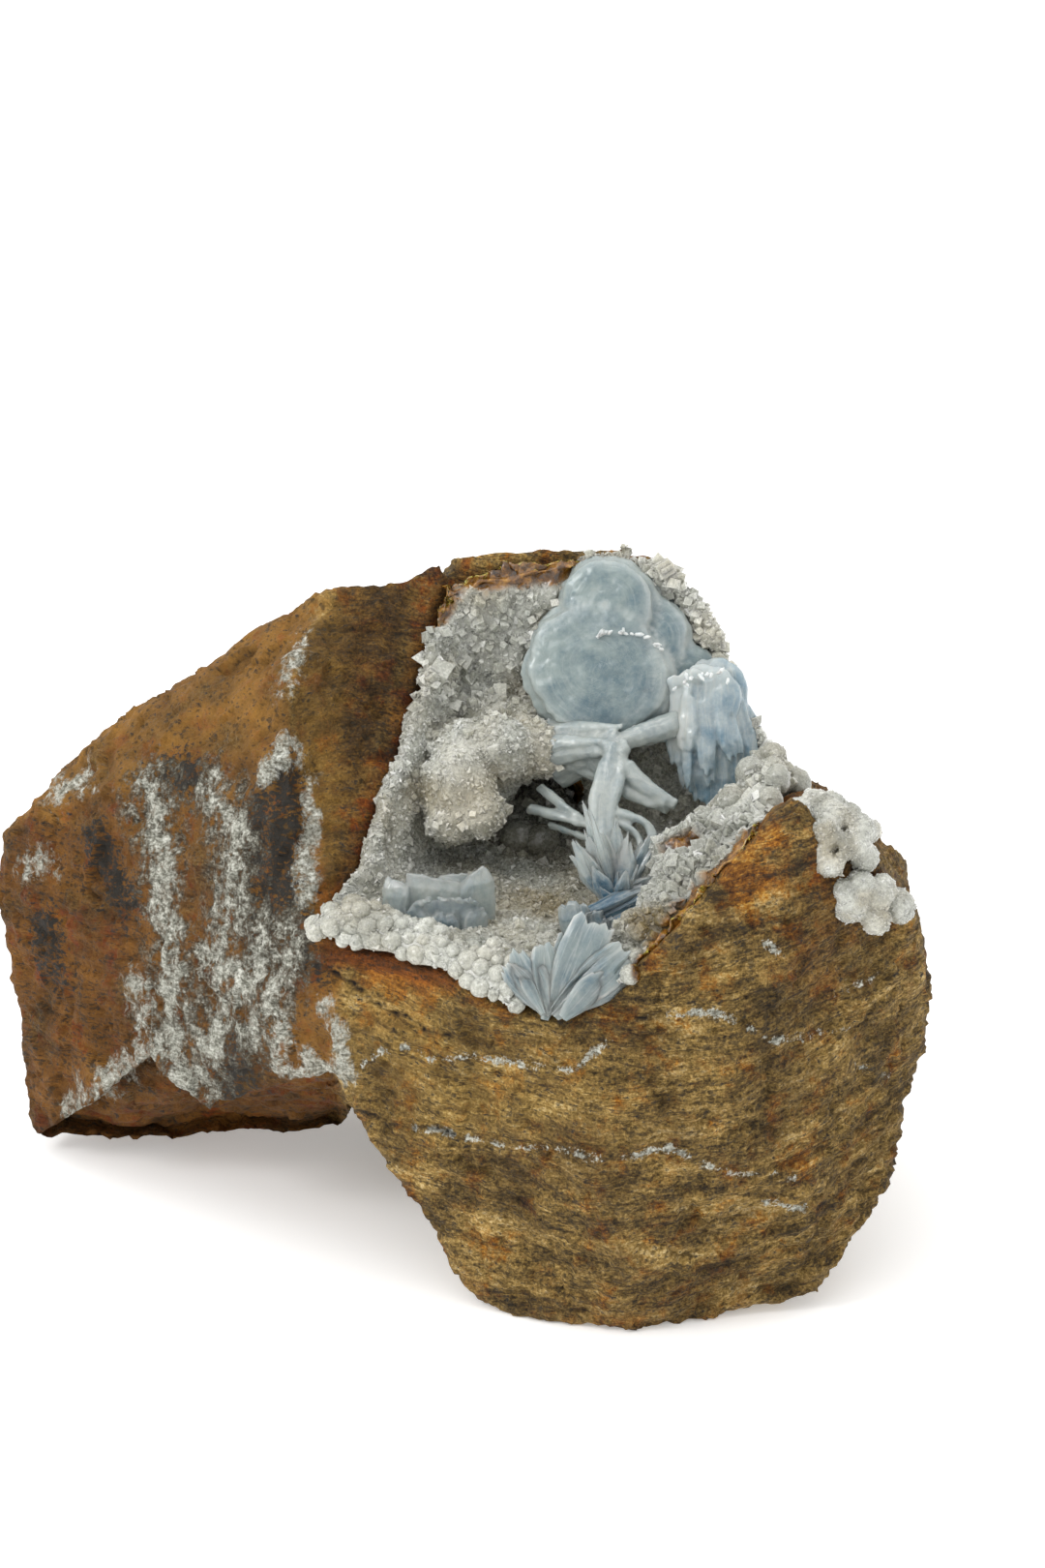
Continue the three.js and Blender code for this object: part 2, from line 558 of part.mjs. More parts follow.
function place(name, solid, material) {
  const { corners, triangles } = facetsOf(solid);
  const geometry = new THREE.BufferGeometry().setFromPoints(
    triangles.flat().map((corner) => corners[corner]),
  );
  geometry.computeVertexNormals();
  const mesh = new THREE.Mesh(geometry, material);
  mesh.name = name;
  root.add(mesh);
}

place("matrix", matrix, finish(0x7a5a33, 0.85));
place("crystal_crust", crust, finish(0xb9b4a6, 0.5));
place("barite_main_cluster", tidied(cluster(mainCluster)), finish(0xa9bccb, 0.2));
place("barite_left_tablets", tidied(cluster(leftTablets)), finish(0xb4c3cc, 0.2));
place("barite_front_leaves", tidied(cluster(frontLeaves).subtract(matrixSkin)), finish(0xb4c3cf, 0.25));
place("nodules_peak_upper", upperNodules, finish(0xe2ded4, 0.6));
place("nodules_peak_lower", lowerNodules, finish(0xe2ded4, 0.6));

// The origin is at the middle of the footprint, on the surface that the feet rest on
const bounds = new THREE.Box3().setFromObject(root);
const middle = bounds.getCenter(new THREE.Vector3());
root.position.set(-middle.x, -middle.y, -bounds.min.z);

export default root;
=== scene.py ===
"""Blue barite on its brown matrix: the looks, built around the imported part. Metres, as the frame is."""

import itertools
import math

import bpy
import numpy as np
from mathutils import Matrix, Vector
from mathutils.bvhtree import BVHTree
from mathutils.kdtree import KDTree


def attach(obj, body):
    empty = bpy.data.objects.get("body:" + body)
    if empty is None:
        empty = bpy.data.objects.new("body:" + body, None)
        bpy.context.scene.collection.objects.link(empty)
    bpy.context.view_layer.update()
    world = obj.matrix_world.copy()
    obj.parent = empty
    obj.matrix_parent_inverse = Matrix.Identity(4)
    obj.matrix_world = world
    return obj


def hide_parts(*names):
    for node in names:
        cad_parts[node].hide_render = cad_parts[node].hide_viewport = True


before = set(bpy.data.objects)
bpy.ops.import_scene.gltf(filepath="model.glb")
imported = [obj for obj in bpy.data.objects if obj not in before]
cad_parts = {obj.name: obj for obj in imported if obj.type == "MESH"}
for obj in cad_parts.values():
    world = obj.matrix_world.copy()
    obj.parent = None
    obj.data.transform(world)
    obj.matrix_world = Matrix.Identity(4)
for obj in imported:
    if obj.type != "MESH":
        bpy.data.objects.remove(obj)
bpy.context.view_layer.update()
MM = 0.001

# The rock: one broken lump of schist, soaked brown with limonite. Its thin layers show as fine fibrous
# lines on the front, and the big left-hand face is broken across them, rustier, and partly covered by
# a pale film of crystals.

ROCK_VOXEL = 0.66  # mm, the finest relief that the mesh carries; finer grain is in the material
LAYER_STEP = 2.4  # mm from one broken layer edge to the next
LOWEST_LAYER = 17  # mm, where along the front the bowl-shaped layers are lowest
LEDGE_DEPTH = 4.5  # mm that the left-hand block is cut back under the film
FILM_REACH, THICK_FILM_REACH = 4.1, 1.6  # mm from the middle of a streak
HAZE_REACH, SOOT_REACH = 6, 5  # mm
CRACK_DEPTH, CRACK_WIDTH = 0.5, 0.8  # mm


def add_piece(name, shape):
    """A new object of a mesh or curve, in the scene."""
    piece = bpy.data.objects.new(name, shape)
    bpy.context.collection.objects.link(piece)
    return piece


def select_only(piece):
    bpy.ops.object.select_all(action="DESELECT")
    piece.select_set(True)
    bpy.context.view_layer.objects.active = piece


def take(cad_node, name):
    """A CAD node's mesh as a new piece, its loose triangles merged, and the only thing selected."""
    piece = add_piece(name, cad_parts[cad_node].data.copy())
    piece.data.materials.clear()
    select_only(piece)
    bpy.ops.object.mode_set(mode="EDIT")
    bpy.ops.mesh.select_all(action="SELECT")
    bpy.ops.mesh.remove_doubles(threshold=0.01 * MM)
    bpy.ops.object.mode_set(mode="OBJECT")
    return piece


def finish_with(piece, kind, **settings):
    """Adds a modifier to the piece and applies it."""
    bpy.context.view_layer.objects.active = piece
    modifier = piece.modifiers.new(kind.lower(), kind)
    for key, value in settings.items():
        setattr(modifier, key, value)
    bpy.ops.object.modifier_apply(modifier=modifier.name)


def reskin(piece, voxel, rounds):
    """Gives the piece one closed skin of even facets, a voxel in mm wide, smoothed a number of rounds."""
    finish_with(piece, "REMESH", mode="VOXEL", voxel_size=voxel * MM)
    finish_with(piece, "SMOOTH", factor=0.5, iterations=rounds)


def corners(piece, what="co"):
    """The places, or with "normal" the outward directions, of a mesh's corners; places in mm."""
    values = np.empty(3 * len(piece.data.vertices), np.float32)
    piece.data.vertices.foreach_get(what, values)
    return values.reshape(-1, 3).astype(float) / (MM if what == "co" else 1)


def surface(piece):
    return corners(piece), corners(piece, "normal")


def move_corners(piece, places):
    piece.data.vertices.foreach_set("co", (places * MM).astype(np.float32).ravel())
    piece.data.update()


def swell(places, size, seed=0):
    """Smooth noise from about -1 to 1, with lumps of that size in mm."""
    q = places / size + 11.3 * seed
    cell = np.floor(q).astype(np.int64)
    share = q - cell
    share = share * share * (3 - 2 * share)
    total = np.zeros(len(places))
    for corner in itertools.product((0, 1), repeat=3):
        c = cell + np.array(corner)
        key = (c[:, 0] * 374761393 + c[:, 1] * 668265263 + c[:, 2] * 1274126177 + seed * 97) & 0xFFFFFFFF
        key = ((key ^ (key >> 13)) * 1103515245) & 0xFFFFFFFF
        value = ((key ^ (key >> 16)) & 0xFFFF) / 32767.5 - 1
        total += value * np.prod(np.where(corner, share, 1 - share), axis=1)
    return total


def tree_of(points):
    """The points in a tree that finds the nearest of them to a place."""
    tree = KDTree(len(points))
    for i, point in enumerate(points):
        tree.insert(point, i)
    tree.balance()
    return tree


def broken(places, size, seed=0):
    """Uneven flat facets of that size in mm: the height of each, from about -1 to 1."""
    chance = np.random.default_rng(seed)
    low, high = places.min(0) - size, places.max(0) + size
    seeds = chance.uniform(low, high, (int(np.prod((high - low) / size)), 3))
    tilt = chance.normal(0, 1, seeds.shape)
    tree = tree_of(seeds)
    nearest = np.array([tree.find(p)[1] for p in places])
    return np.einsum("ij,ij->i", places - seeds[nearest], tilt[nearest]) / size


def smooth_step(values, low, high):
    t = np.clip((values - low) / (high - low), 0, 1)
    return t * t * (3 - 2 * t)


def distance_to(places, strokes):
    """The distance in mm from each place to the nearest of some lines, each a list of points."""
    nearest = np.full(len(places), 99.0)
    for stroke in strokes:
        points = np.array(stroke, float)
        for a, b in zip(points[:-1], points[1:]):
            along = np.clip((places - a) @ (b - a) / ((b - a) @ (b - a)), 0, 1)
            nearest = np.minimum(nearest, np.linalg.norm(places - a - along[:, None] * (b - a), axis=1))
    return nearest


def off_node(cad_node, places):
    """The distance in mm from each place to the surface of a CAD node."""
    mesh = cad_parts[cad_node].data
    tree = BVHTree.FromPolygons([v.co / MM for v in mesh.vertices], [p.vertices for p in mesh.polygons])
    return np.array([tree.find_nearest(p)[3] for p in places])


def note(piece, name, values):
    """Keeps a value per corner on the mesh, for the material to read."""
    if name in piece.data.attributes:
        piece.data.attributes.remove(piece.data.attributes[name])
    kind = "FLOAT" if values.ndim == 1 else "FLOAT_VECTOR"
    attribute = piece.data.attributes.new(name, kind, "POINT")
    attribute.data.foreach_set("value" if values.ndim == 1 else "vector", values.astype(np.float32).ravel())


# Where the rock stands up over the crust's outer edge: a line, how far it reaches and rises, all in mm
OUTCROPS = [
    ([(25.8, -34.6, 47.6), (28.6, -32.2, 50.4), (31, -31.2, 53)], 3.2, 2.2),
    ([(31.6, -31.2, 53.4), (34, -30, 56), (36.5, -28.6, 58.4), (38.6, -28, 60.2)], 4.6, 3),
    ([(-1.8, 12, 76), (0.4, 13.4, 78.4)], 2.6, 1.6),
    ([(4, 15.4, 79), (10, 15.3, 79.4), (15, 14.6, 79.6)], 2.2, 1.4),
    ([(28.2, -16.6, 54.9), (29.4, -16.8, 55.2)], 1.8, 0),
]


def on_outcrops(places, margin, rising=False):
    """1 where the rock stands over the crust, falling to 0 over a margin in mm, or how far it rises."""
    wander = 0.7 * np.stack([swell(places, 1.8, s) for s in (47, 48, 49)], axis=1)
    shares = []
    for line, reach, rise in OUTCROPS:
        share = smooth_step(-distance_to(places + wander, [line]), -reach - margin, -reach)
        shares.append(share * rise if rising else share)
    return np.max(shares, axis=0)


rock = take("matrix", "rock")
reskin(rock, ROCK_VOXEL, 14)
places, outward = surface(rock)
from_crust = off_node("crystal_crust", places)
x, y, z = places.T

# Under the pale film the block is cut back: the height of that ledge's edge along the block
ledge = np.interp(x, [-56, -48, -37, -33, -29, -24, -15, -11], [0, 8.5, 21, 18, 16, 21, 26, 28])
under = smooth_step(ledge - z, -0.3, 1.6) * smooth_step(-x, 11, 15) * smooth_step(-outward[:, 1], 0.2, 0.5)
places[:, 1] += LEDGE_DEPTH * under
rise = on_outcrops(places, 2.5, rising=True) * smooth_step(outward[:, 2], -0.5, 0.1)
places += rise[:, None] * np.array((0.05, -0.1, 1))
# On the left-hand block the layers stand steeply; on the rest they lie nearly level, like a bowl's
steep = smooth_step(-x, 8, 20) * smooth_step(z + 0.8 * x, 2, 14)
level = z - 0.0055 * (np.clip(x, -8, 60) - LOWEST_LAYER) ** 2 + 0.06 * y
level = level + 0.9 * swell(places, 10, 1) + 0.35 * swell(places, 4, 2)
upright = 0.92 * x - 0.38 * z + 0.3 * y + swell(places, 8, 4)
ledges = (1 - steep) * ((level / LAYER_STEP + 0.6 * swell(places, 6, 3)) % 1 - 0.5)
ledges += 0.4 * steep * (upright / (1.6 * LAYER_STEP) % 1 - 0.5)
relief = (
    0.6 * swell(places, 9, 5)
    + 0.25 * swell(places, 3.6, 6)
    + 0.38 * broken(places, 6, 7)
    + 0.24 * broken(places, 2.6, 8)
    + 0.14 * broken(places, 1.3, 11)
    + 0.3 * ledges * (1 + swell(places, 10, 9))
    + 0.1 * swell(places, 1.5, 10)
)
relief = np.clip(relief, -1.4, 1.1) * np.clip(from_crust / 2.5, 0.2, 1)
places = places + outward * relief[:, None]
places[:, 2] = np.maximum(places[:, 2], 0)
move_corners(rock, places)

# Where the pale film lies on the left-hand face: the middle of each streak
FILM = [
    [(-29, 0, 56), (-27, -4, 54), (-25, -7, 52), (-26, -7, 50), (-26, -9, 46), (-27, -8, 41), (-29, -9, 36)],
    [(-27, -11, 37), (-27, -11, 33), (-28, -10, 30), (-29, -10, 24)],
    [(-37, 6, 54), (-36, 3, 50), (-35, 0, 46), (-35, -1, 41), (-34, -5, 34), (-33, -6, 29)],
    [(-34, -5, 34), (-34, -6, 28), (-34, -6, 22), (-33, -7, 18), (-30, -9, 20)],
    [(-39, -2, 29), (-38, -2, 25)],
    [(-22, -14, 43), (-23, -15, 38), (-25, -13, 35)],
    [(-18, -18, 43), (-20, -17, 38), (-22, -17, 34), (-23, -15, 30)],
    [(-48, 6, 9), (-43, 1, 15), (-36, -4, 22)],
    [(-53, 15, 39), (-52, 14, 40)],
    [(-50, 17, 49), (-46, 15, 51)],
    [(-19, 3, 70), (-17, 9, 72)],
]
# and where it is a thick white crust: along the ridge, and low down beside the front block
THICK_FILM = [
    [(-22, -5, 60), (-20, -5, 62), (-19, -4, 64), (-18, -3, 62), (-16, -5, 58), (-16, -8, 55), (-17, -12, 51),
     (-16, -15, 48)],
    [(-20, -18, 31), (-20, -16, 26), (-17, -18, 26), (-15, -19, 27), (-17, -18, 29)],
    [(-15, -19, 27), (-12, -23, 28), (-13, -22, 34), (-14, -21, 36)],
]
# The black manganese stain between the streaks
SOOT = [
    [(-20, -6, 61), (-19, -9, 58), (-20, -11, 52), (-21, -13, 46), (-22, -14, 40)],
    [(-23, -7, 57), (-23, -9, 50), (-24, -11, 44)],
    [(-35, 5, 56), (-31, 2, 56)],
    [(-18, -15, 48), (-18, -16, 45), (-16, -19, 42)],
    [(-44, 8, 45), (-41, 3, 40)],
    [(-51, 11, 32), (-50, 10, 27)],
    [(-24, -13, 28), (-26, -11, 20)],
]
# White veins in the front, and the open cracks
VEINS = [
    [(-3, -27, 33.7), (-2, -28, 32.7), (0, -29, 32.5), (4, -30, 33.6), (8.5, -32.5, 34), (14, -35, 34.4),
     (16.3, -36, 35.2), (17.9, -35.6, 37), (19.7, -35.4, 38.4)],
    [(24, -35.6, 41.4), (28, -36, 42.2), (32.3, -36.3, 42.4), (35, -36.7, 41.4), (39, -36.3, 38.6),
     (44, -33.5, 38.2), (48.5, -31, 37.8)],
    [(-4, -27, 23), (-1, -29, 23.6), (2.7, -31, 23.4), (8.5, -34, 23.6), (14, -37, 25), (18, -39, 24.9),
     (22, -39, 25.3), (27, -39, 25.9), (29.3, -38.8, 24.8)],
    [(31, -38.4, 23.7), (35, -37.6, 22), (39.6, -36.3, 21.5), (41.7, -35.7, 20.4)],
    [(38.3, -36.4, 17.6), (41, -35.7, 16.7), (43.6, -33.8, 15.7)],
    [(-14, -21.4, 35), (-13, -22, 31.4), (-12.4, -22.5, 29), (-10, -23, 29), (-7, -25, 32.3),
     (-4, -27, 33.6)],
    [(47, -31, 42.6), (51.6, -28, 43.2)],
    [(47.6, -31.6, 34), (53.4, -26, 29.5)],
    [(38, -34.6, 50.5), (39.4, -35.4, 49.6)],
]
CRACKS = [
    [(22.8, -35.3, 41.1), (25.6, -35.8, 41.6)],
    [(-10.3, -24, 23.3), (-7.7, -25, 23.2)],
    [(-7.3, -25.4, 22.3), (-0.8, -29, 23.8), (2.3, -31, 23.3)],
    [(-4.8, -26, 37.3), (-2, -27.6, 36), (1.6, -29.2, 36)],
    [(-16.3, -19, 41.7), (-13, -21, 40.7), (-9, -23.5, 38.6), (-5.4, -25.6, 37)],
    [(40.6, -34, 10), (46.6, -30.3, 9.7)],
    [(-4.2, -22.5, 43.8), (-1.3, -22.5, 43.8), (1.6, -22.8, 43.3)],
]

wander = 0.6 * np.stack([swell(places, 2.5, s) for s in (21, 22, 23)], axis=1)
film = np.maximum(
    1 - distance_to(places + 1.8 * wander, FILM) / FILM_REACH,
    1.45 - distance_to(places + wander, THICK_FILM) / THICK_FILM_REACH,
)
haze = 1.15 - distance_to(places + 2 * wander, FILM[:4] + FILM[5:7]) / HAZE_REACH
soot = 1 - distance_to(places + 2 * wander, SOOT) / SOOT_REACH
vein = distance_to(places + 0.4 * wander, VEINS)
crack = distance_to(places + 0.5 * wander, CRACKS)
dent = CRACK_DEPTH * np.clip(1 - crack / CRACK_WIDTH, 0, 1) - 0.3 * np.clip(film - 0.5, 0, 0.6)
move_corners(rock, places - outward * dent[:, None])

# The face right of the sharp ridge is a fresh break, olive and darker, that turns rusty by the crystals
ridge_x = np.interp(z + 1.2 * swell(places, 5, 24), [44, 52, 64, 70, 78], [-16, -15, -19, -19, -13])
fresh = smooth_step(x - ridge_x, -0.4, 1.4) * smooth_step(z, 40, 44)
fresh *= smooth_step(-x, -7, 0) * smooth_step(-y - 3 * swell(places, 6, 26), -20, -13)
fresh_rust = 0.9 * np.exp(-(((x + 6) / 9) ** 2 + ((z - 43) / 4) ** 2)) * (y < 10)
fresh_rust += 0.7 * np.exp(-(((x - 38) / 5) ** 2 + ((z - 58) / 5) ** 2))
fresh_rust += 0.3 * smooth_step(-from_crust, -4, -1)
# a golden patch on the left of the front, and painted light: the upward-facing top of the left-hand block is
# made lighter
straw = np.exp(-(((x + 1) / 15) ** 2 + ((z - 32) / 9) ** 2)) * (y < 0)
straw += 0.7 * smooth_step(-x, 11, 15) * smooth_step(outward[:, 2], 0.2, 0.6)
left_rim = 0.3 * np.exp(-(((x + 7) / 10) ** 2 + ((z - 41) / 7) ** 2)) * (y < 10)
right_peak = np.exp(-(((x - 46) / 9) ** 2 + ((z - 52) / 12) ** 2))
behind = smooth_step(y, 8, 20)
wing = smooth_step(-x + 7 * behind * swell(places, 9, 25), 11 - 12 * behind, 15 + 12 * behind) * (1 - fresh)
by_crystals = fresh * smooth_step(-from_crust, -5, -1)
foot = np.exp(-(((x - 22) / 20) ** 2 + (z / 7) ** 2))
rusty_share = 0.8 * wing + left_rim + 0.55 * right_peak + 0.7 * by_crystals + 0.35 * foot
facing_front = outward[:, 1] < 0.3
for name, values in {
    "layers": np.stack([x, y, level], axis=1),
    "front": 1 - steep,
    "orange": np.clip(fresh_rust, 0, 1),
    "golden_and_lit_top": straw,
    "calm": wing,
    "relief": relief,
    "film": np.clip(film, 0, 1.5) * facing_front * (1 - 0.8 * fresh),
    "film_haze": np.clip(haze, 0, 1) * facing_front * (1 - fresh),
    "soot": np.clip(soot, 0, 1) * (1 - fresh),
    "vein": np.clip(vein, 0, 5),
    "crack": np.clip(crack, 0, 5),
    "rust": np.clip(rusty_share, 0, 1),
    "olive": np.clip(fresh - 0.7 * by_crystals, 0, 1),
}.items():
    note(rock, name, values)
bpy.ops.object.shade_smooth()


def hex_colour(code):
    """An sRGB hex colour in Blender's linear values."""
    parts = [int(code[i : i + 2], 16) / 255 for i in (0, 2, 4)]
    return [p / 12.92 if p <= 0.04045 else ((p + 0.055) / 1.055) ** 2.4 for p in parts] + [1]


def new_material(name):
    material = bpy.data.materials.new(name)
    material.use_nodes = True
    material.node_tree.nodes.clear()
    return material


def node(material, kind, output=0, stops=(), inputs=(), **settings):
    """Adds a node and returns one of its outputs. inputs maps a socket to a value or another's output."""
    made = material.node_tree.nodes.new("ShaderNode" + kind)
    for key, value in settings.items():
        setattr(made, key, value)
    for i, (place, colour) in enumerate(stops):
        stop = made.color_ramp.elements[i] if i < 2 else made.color_ramp.elements.new(place)
        stop.position, stop.color = place, hex_colour(colour)
    for key, value in dict(inputs).items():
        if isinstance(value, bpy.types.NodeSocket):
            material.node_tree.links.new(value, made.inputs[key])
        else:
            made.inputs[key].default_value = value
    return made.outputs[output] if made.outputs else None


# Limonite-stained schist, broken and weathered: a dull, fibrous brown that runs from straw through
# ochre to nearly black, with no gloss but a faint one on the iron-rich spots
schist = new_material("limonite_schist")
layers = node(schist, "Attribute", "Vector", attribute_name="layers")
front, calm, golden_and_lit_top, relief_height, film_reach, haze_reach, vein_away, crack_away = [
    node(schist, "Attribute", "Fac", attribute_name=name)
    for name in ("front", "calm", "golden_and_lit_top", "relief", "film", "film_haze", "vein", "crack")
]
object_place = node(schist, "TexCoord", "Object")
place_mm = node(schist, "VectorMath", operation="SCALE", inputs={0: object_place, "Scale": 1 / MM})

# fibres 0.4 mm thick and a few mm long, drawn out along the layers of the front
fibre_place = node(schist, "VectorMath", operation="MULTIPLY", inputs={0: layers, 1: (0.35, 0.35, 2.3)})
fibre = node(
    schist,
    "TexNoise",
    inputs={"Vector": fibre_place, "Scale": 1, "Detail": 5, "Roughness": 0.65, "Distortion": 0.7},
)
# bands of paler and darker layers, 3 mm thick
band_place = node(schist, "VectorMath", operation="MULTIPLY", inputs={0: layers, 1: (0.1, 0.1, 0.33)})
band = node(schist, "TexNoise", inputs={"Vector": band_place, "Scale": 1, "Detail": 6, "Roughness": 0.7})
# grains of 0.6 mm, a little longer than thick, and specks of 0.25 mm
grain_place = node(schist, "VectorMath", operation="MULTIPLY", inputs={0: layers, 1: (1.1, 1.1, 1.8)})
grain = node(schist, "TexNoise", inputs={"Vector": grain_place, "Scale": 1, "Detail": 5, "Roughness": 0.72})
speck = node(schist, "TexNoise", inputs={"Vector": place_mm, "Scale": 2.8, "Detail": 3, "Roughness": 0.7})
# stains 9 mm across
stain = node(schist, "TexNoise", inputs={"Vector": place_mm, "Scale": 0.11, "Detail": 6, "Roughness": 0.68})

fibre_share = node(schist, "Math", operation="MULTIPLY", inputs={0: front, 1: 0.42})
fibre_and_grain = node(
    schist, "Mix", "Result", data_type="FLOAT", inputs={"Factor": fibre_share, "A": grain, "B": fibre}
)
fine = node(
    schist, "Mix", "Result", data_type="FLOAT", inputs={"Factor": 0.36, "A": fibre_and_grain, "B": speck}
)
tone = node(schist, "Mix", "Result", data_type="FLOAT", inputs={"Factor": 0.33, "A": fine, "B": band})
# thin dark seams that run a few centimetres along the layers of the front
seam_place = node(schist, "VectorMath", operation="MULTIPLY", inputs={0: layers, 1: (0.07, 0.07, 0.42)})
seam = node(
    schist,
    "TexNoise",
    inputs={"Vector": seam_place, "Scale": 1, "Detail": 4, "Roughness": 0.55, "Distortion": 0.3},
)
seam_side = node(schist, "Math", operation="SUBTRACT", inputs={0: seam, 1: 0.5})
off_seam = node(schist, "Math", operation="ABSOLUTE", inputs={0: seam_side})
seam_width = node(schist, "Math", operation="MULTIPLY_ADD", inputs={0: grain, 1: 0.07, 2: -0.022})
seam_depth = node(schist, "Math", operation="SUBTRACT", inputs={0: seam_width, 1: off_seam})
seam_dark = node(schist, "MapRange", inputs={"Value": seam_depth, "From Max": 0.012, "To Max": 0.75})
seam_share = node(schist, "Math", operation="MULTIPLY", inputs={0: seam_dark, 1: front})

# three runs of brown: straw to ochre, rust, which is calmer on the left-hand face, and olive
ochre = node(
    schist,
    "ValToRGB",
    stops=[(0.405, "231a0c"), (0.455, "554321"), (0.5, "836936"), (0.545, "af9051"), (0.6, "e3c88f")],
    inputs={"Fac": tone},
)
calm_share = node(schist, "Math", operation="MULTIPLY", inputs={0: calm, 1: 0.65})
calm_tone = node(
    schist, "Mix", "Result", data_type="FLOAT", inputs={"Factor": calm_share, "A": tone, "B": 0.5}
)
rusty = node(
    schist,
    "ValToRGB",
    stops=[(0.39, "1e1106"), (0.45, "4b2e10"), (0.505, "754c17"), (0.56, "936323"), (0.63, "b68b42")],
    inputs={"Fac": calm_tone},
)
olive = node(
    schist,
    "ValToRGB",
    stops=[(0.39, "181005"), (0.45, "3b290e"), (0.505, "5d4217"), (0.56, "805f27"), (0.63, "a88545")],
    inputs={"Fac": tone},
)


def patchy(attribute, noise, spread):
    """An attribute from 0 to 1 with its edge broken up by a noise."""
    torn = node(schist, "Math", operation="MULTIPLY_ADD", inputs={0: noise, 1: spread, 2: -spread / 2})
    reach = node(schist, "Attribute", "Fac", attribute_name=attribute)
    both = node(schist, "Math", operation="ADD", inputs={0: reach, 1: torn})
    return node(
        schist,
        "MapRange",
        interpolation_type="SMOOTHSTEP",
        inputs={"Value": both, "From Min": 0.2, "From Max": 0.8},
    )


# an orange bloom of fresh rust in patches 4 mm across
bloom_noise = node(
    schist, "TexNoise", inputs={"Vector": place_mm, "Scale": 0.24, "Detail": 6, "Roughness": 0.72}
)
bloom_patches = node(
    schist,
    "MapRange",
    interpolation_type="SMOOTHSTEP",
    inputs={"Value": bloom_noise, "From Min": 0.5, "From Max": 0.66, "To Max": 0.8},
)
orange_patches = patchy("orange", bloom_noise, 3)
bloom = node(
    schist, "Math", operation="ADD", use_clamp=True, inputs={0: bloom_patches, 1: orange_patches}
)
golden_and_lit_top_share = node(schist, "Math", operation="MULTIPLY", inputs={0: golden_and_lit_top, 1: 0.55})

# painted shade: hollows between the layers are made darker; larger stains tint the whole
hollow_painted_shade = node(
    schist,
    "MapRange",
    inputs={"Value": relief_height, "From Min": -0.2, "From Max": -1.2, "To Min": 0, "To Max": 0.5},
)
stain_tint = node(schist, "ValToRGB", stops=[(0.38, "857a66"), (0.58, "ffffff")], inputs={"Fac": stain})

# dark pits, about half a millimetre across, in clusters
pit_distance = node(schist, "TexVoronoi", inputs={"Vector": grain_place, "Scale": 0.9, "Randomness": 1})
pit_size = node(schist, "Math", operation="MULTIPLY_ADD", inputs={0: bloom_noise, 1: -1.9, 2: 1.25})
pit_depth = node(schist, "Math", operation="SUBTRACT", inputs={0: pit_size, 1: pit_distance})
pit = node(
    schist,
    "MapRange",
    interpolation_type="SMOOTHSTEP",
    inputs={"Value": pit_depth, "From Min": 0, "From Max": 0.22, "To Max": 0.6},
)

# the pale film: a white to grey crust of tiny crystals, torn into streaks along the layers
tear_place = node(schist, "VectorMath", operation="MULTIPLY", inputs={0: place_mm, 1: (0.6, 0.6, 0.34)})
tear = node(schist, "TexNoise", inputs={"Vector": tear_place, "Scale": 1, "Detail": 6, "Roughness": 0.74})
torn_film = node(schist, "Math", operation="MULTIPLY_ADD", inputs={0: tear, 1: 4.6, 2: -2.3})
film_depth = node(schist, "Math", operation="ADD", inputs={0: torn_film, 1: film_reach})
film_torn = node(
    schist,
    "MapRange",
    interpolation_type="SMOOTHSTEP",
    inputs={"Value": film_depth, "From Min": 0.28, "From Max": 1.1, "To Max": 0.92},
)
film_inside = node(schist, "MapRange", inputs={"Value": film_reach, "From Max": 0.3})
film_share = node(schist, "Math", operation="MULTIPLY", inputs={0: film_torn, 1: film_inside})
# between the streaks it thins to a grey haze
haze_inside = node(schist, "MapRange", inputs={"Value": haze_reach, "From Max": 0.5, "To Max": 0.85})
haze_patches = patchy("film_haze", tear, 4.5)
haze_share = node(schist, "Math", operation="MULTIPLY", inputs={0: haze_patches, 1: haze_inside})
haze_colour = node(
    schist,
    "ValToRGB",
    stops=[(0.42, "2b271f"), (0.5, "4d483c"), (0.56, "777364"), (0.64, "a19d90")],
    inputs={"Fac": fine},
)
film_colour = node(
    schist,
    "ValToRGB",
    stops=[(0.4, "58574c"), (0.47, "8b8b7f"), (0.53, "b6b6aa"), (0.62, "e6e6dc")],
    inputs={"Fac": fine},
)

# white veins a quarter of a millimetre wide, here and there broken, and black cracks
vein_gaps = node(schist, "Math", operation="MULTIPLY_ADD", inputs={0: tear, 1: 2.6, 2: -1.4})
vein_width = node(schist, "Math", operation="MULTIPLY_ADD", inputs={0: speck, 1: 1.1, 2: vein_gaps})
vein_depth = node(schist, "Math", operation="SUBTRACT", inputs={0: vein_width, 1: vein_away})
vein_share = node(schist, "MapRange", inputs={"Value": vein_depth, "From Min": 0, "From Max": 0.25})
crack_share = node(schist, "MapRange", inputs={"Value": crack_away, "From Min": 0.55, "From Max": 0.15})

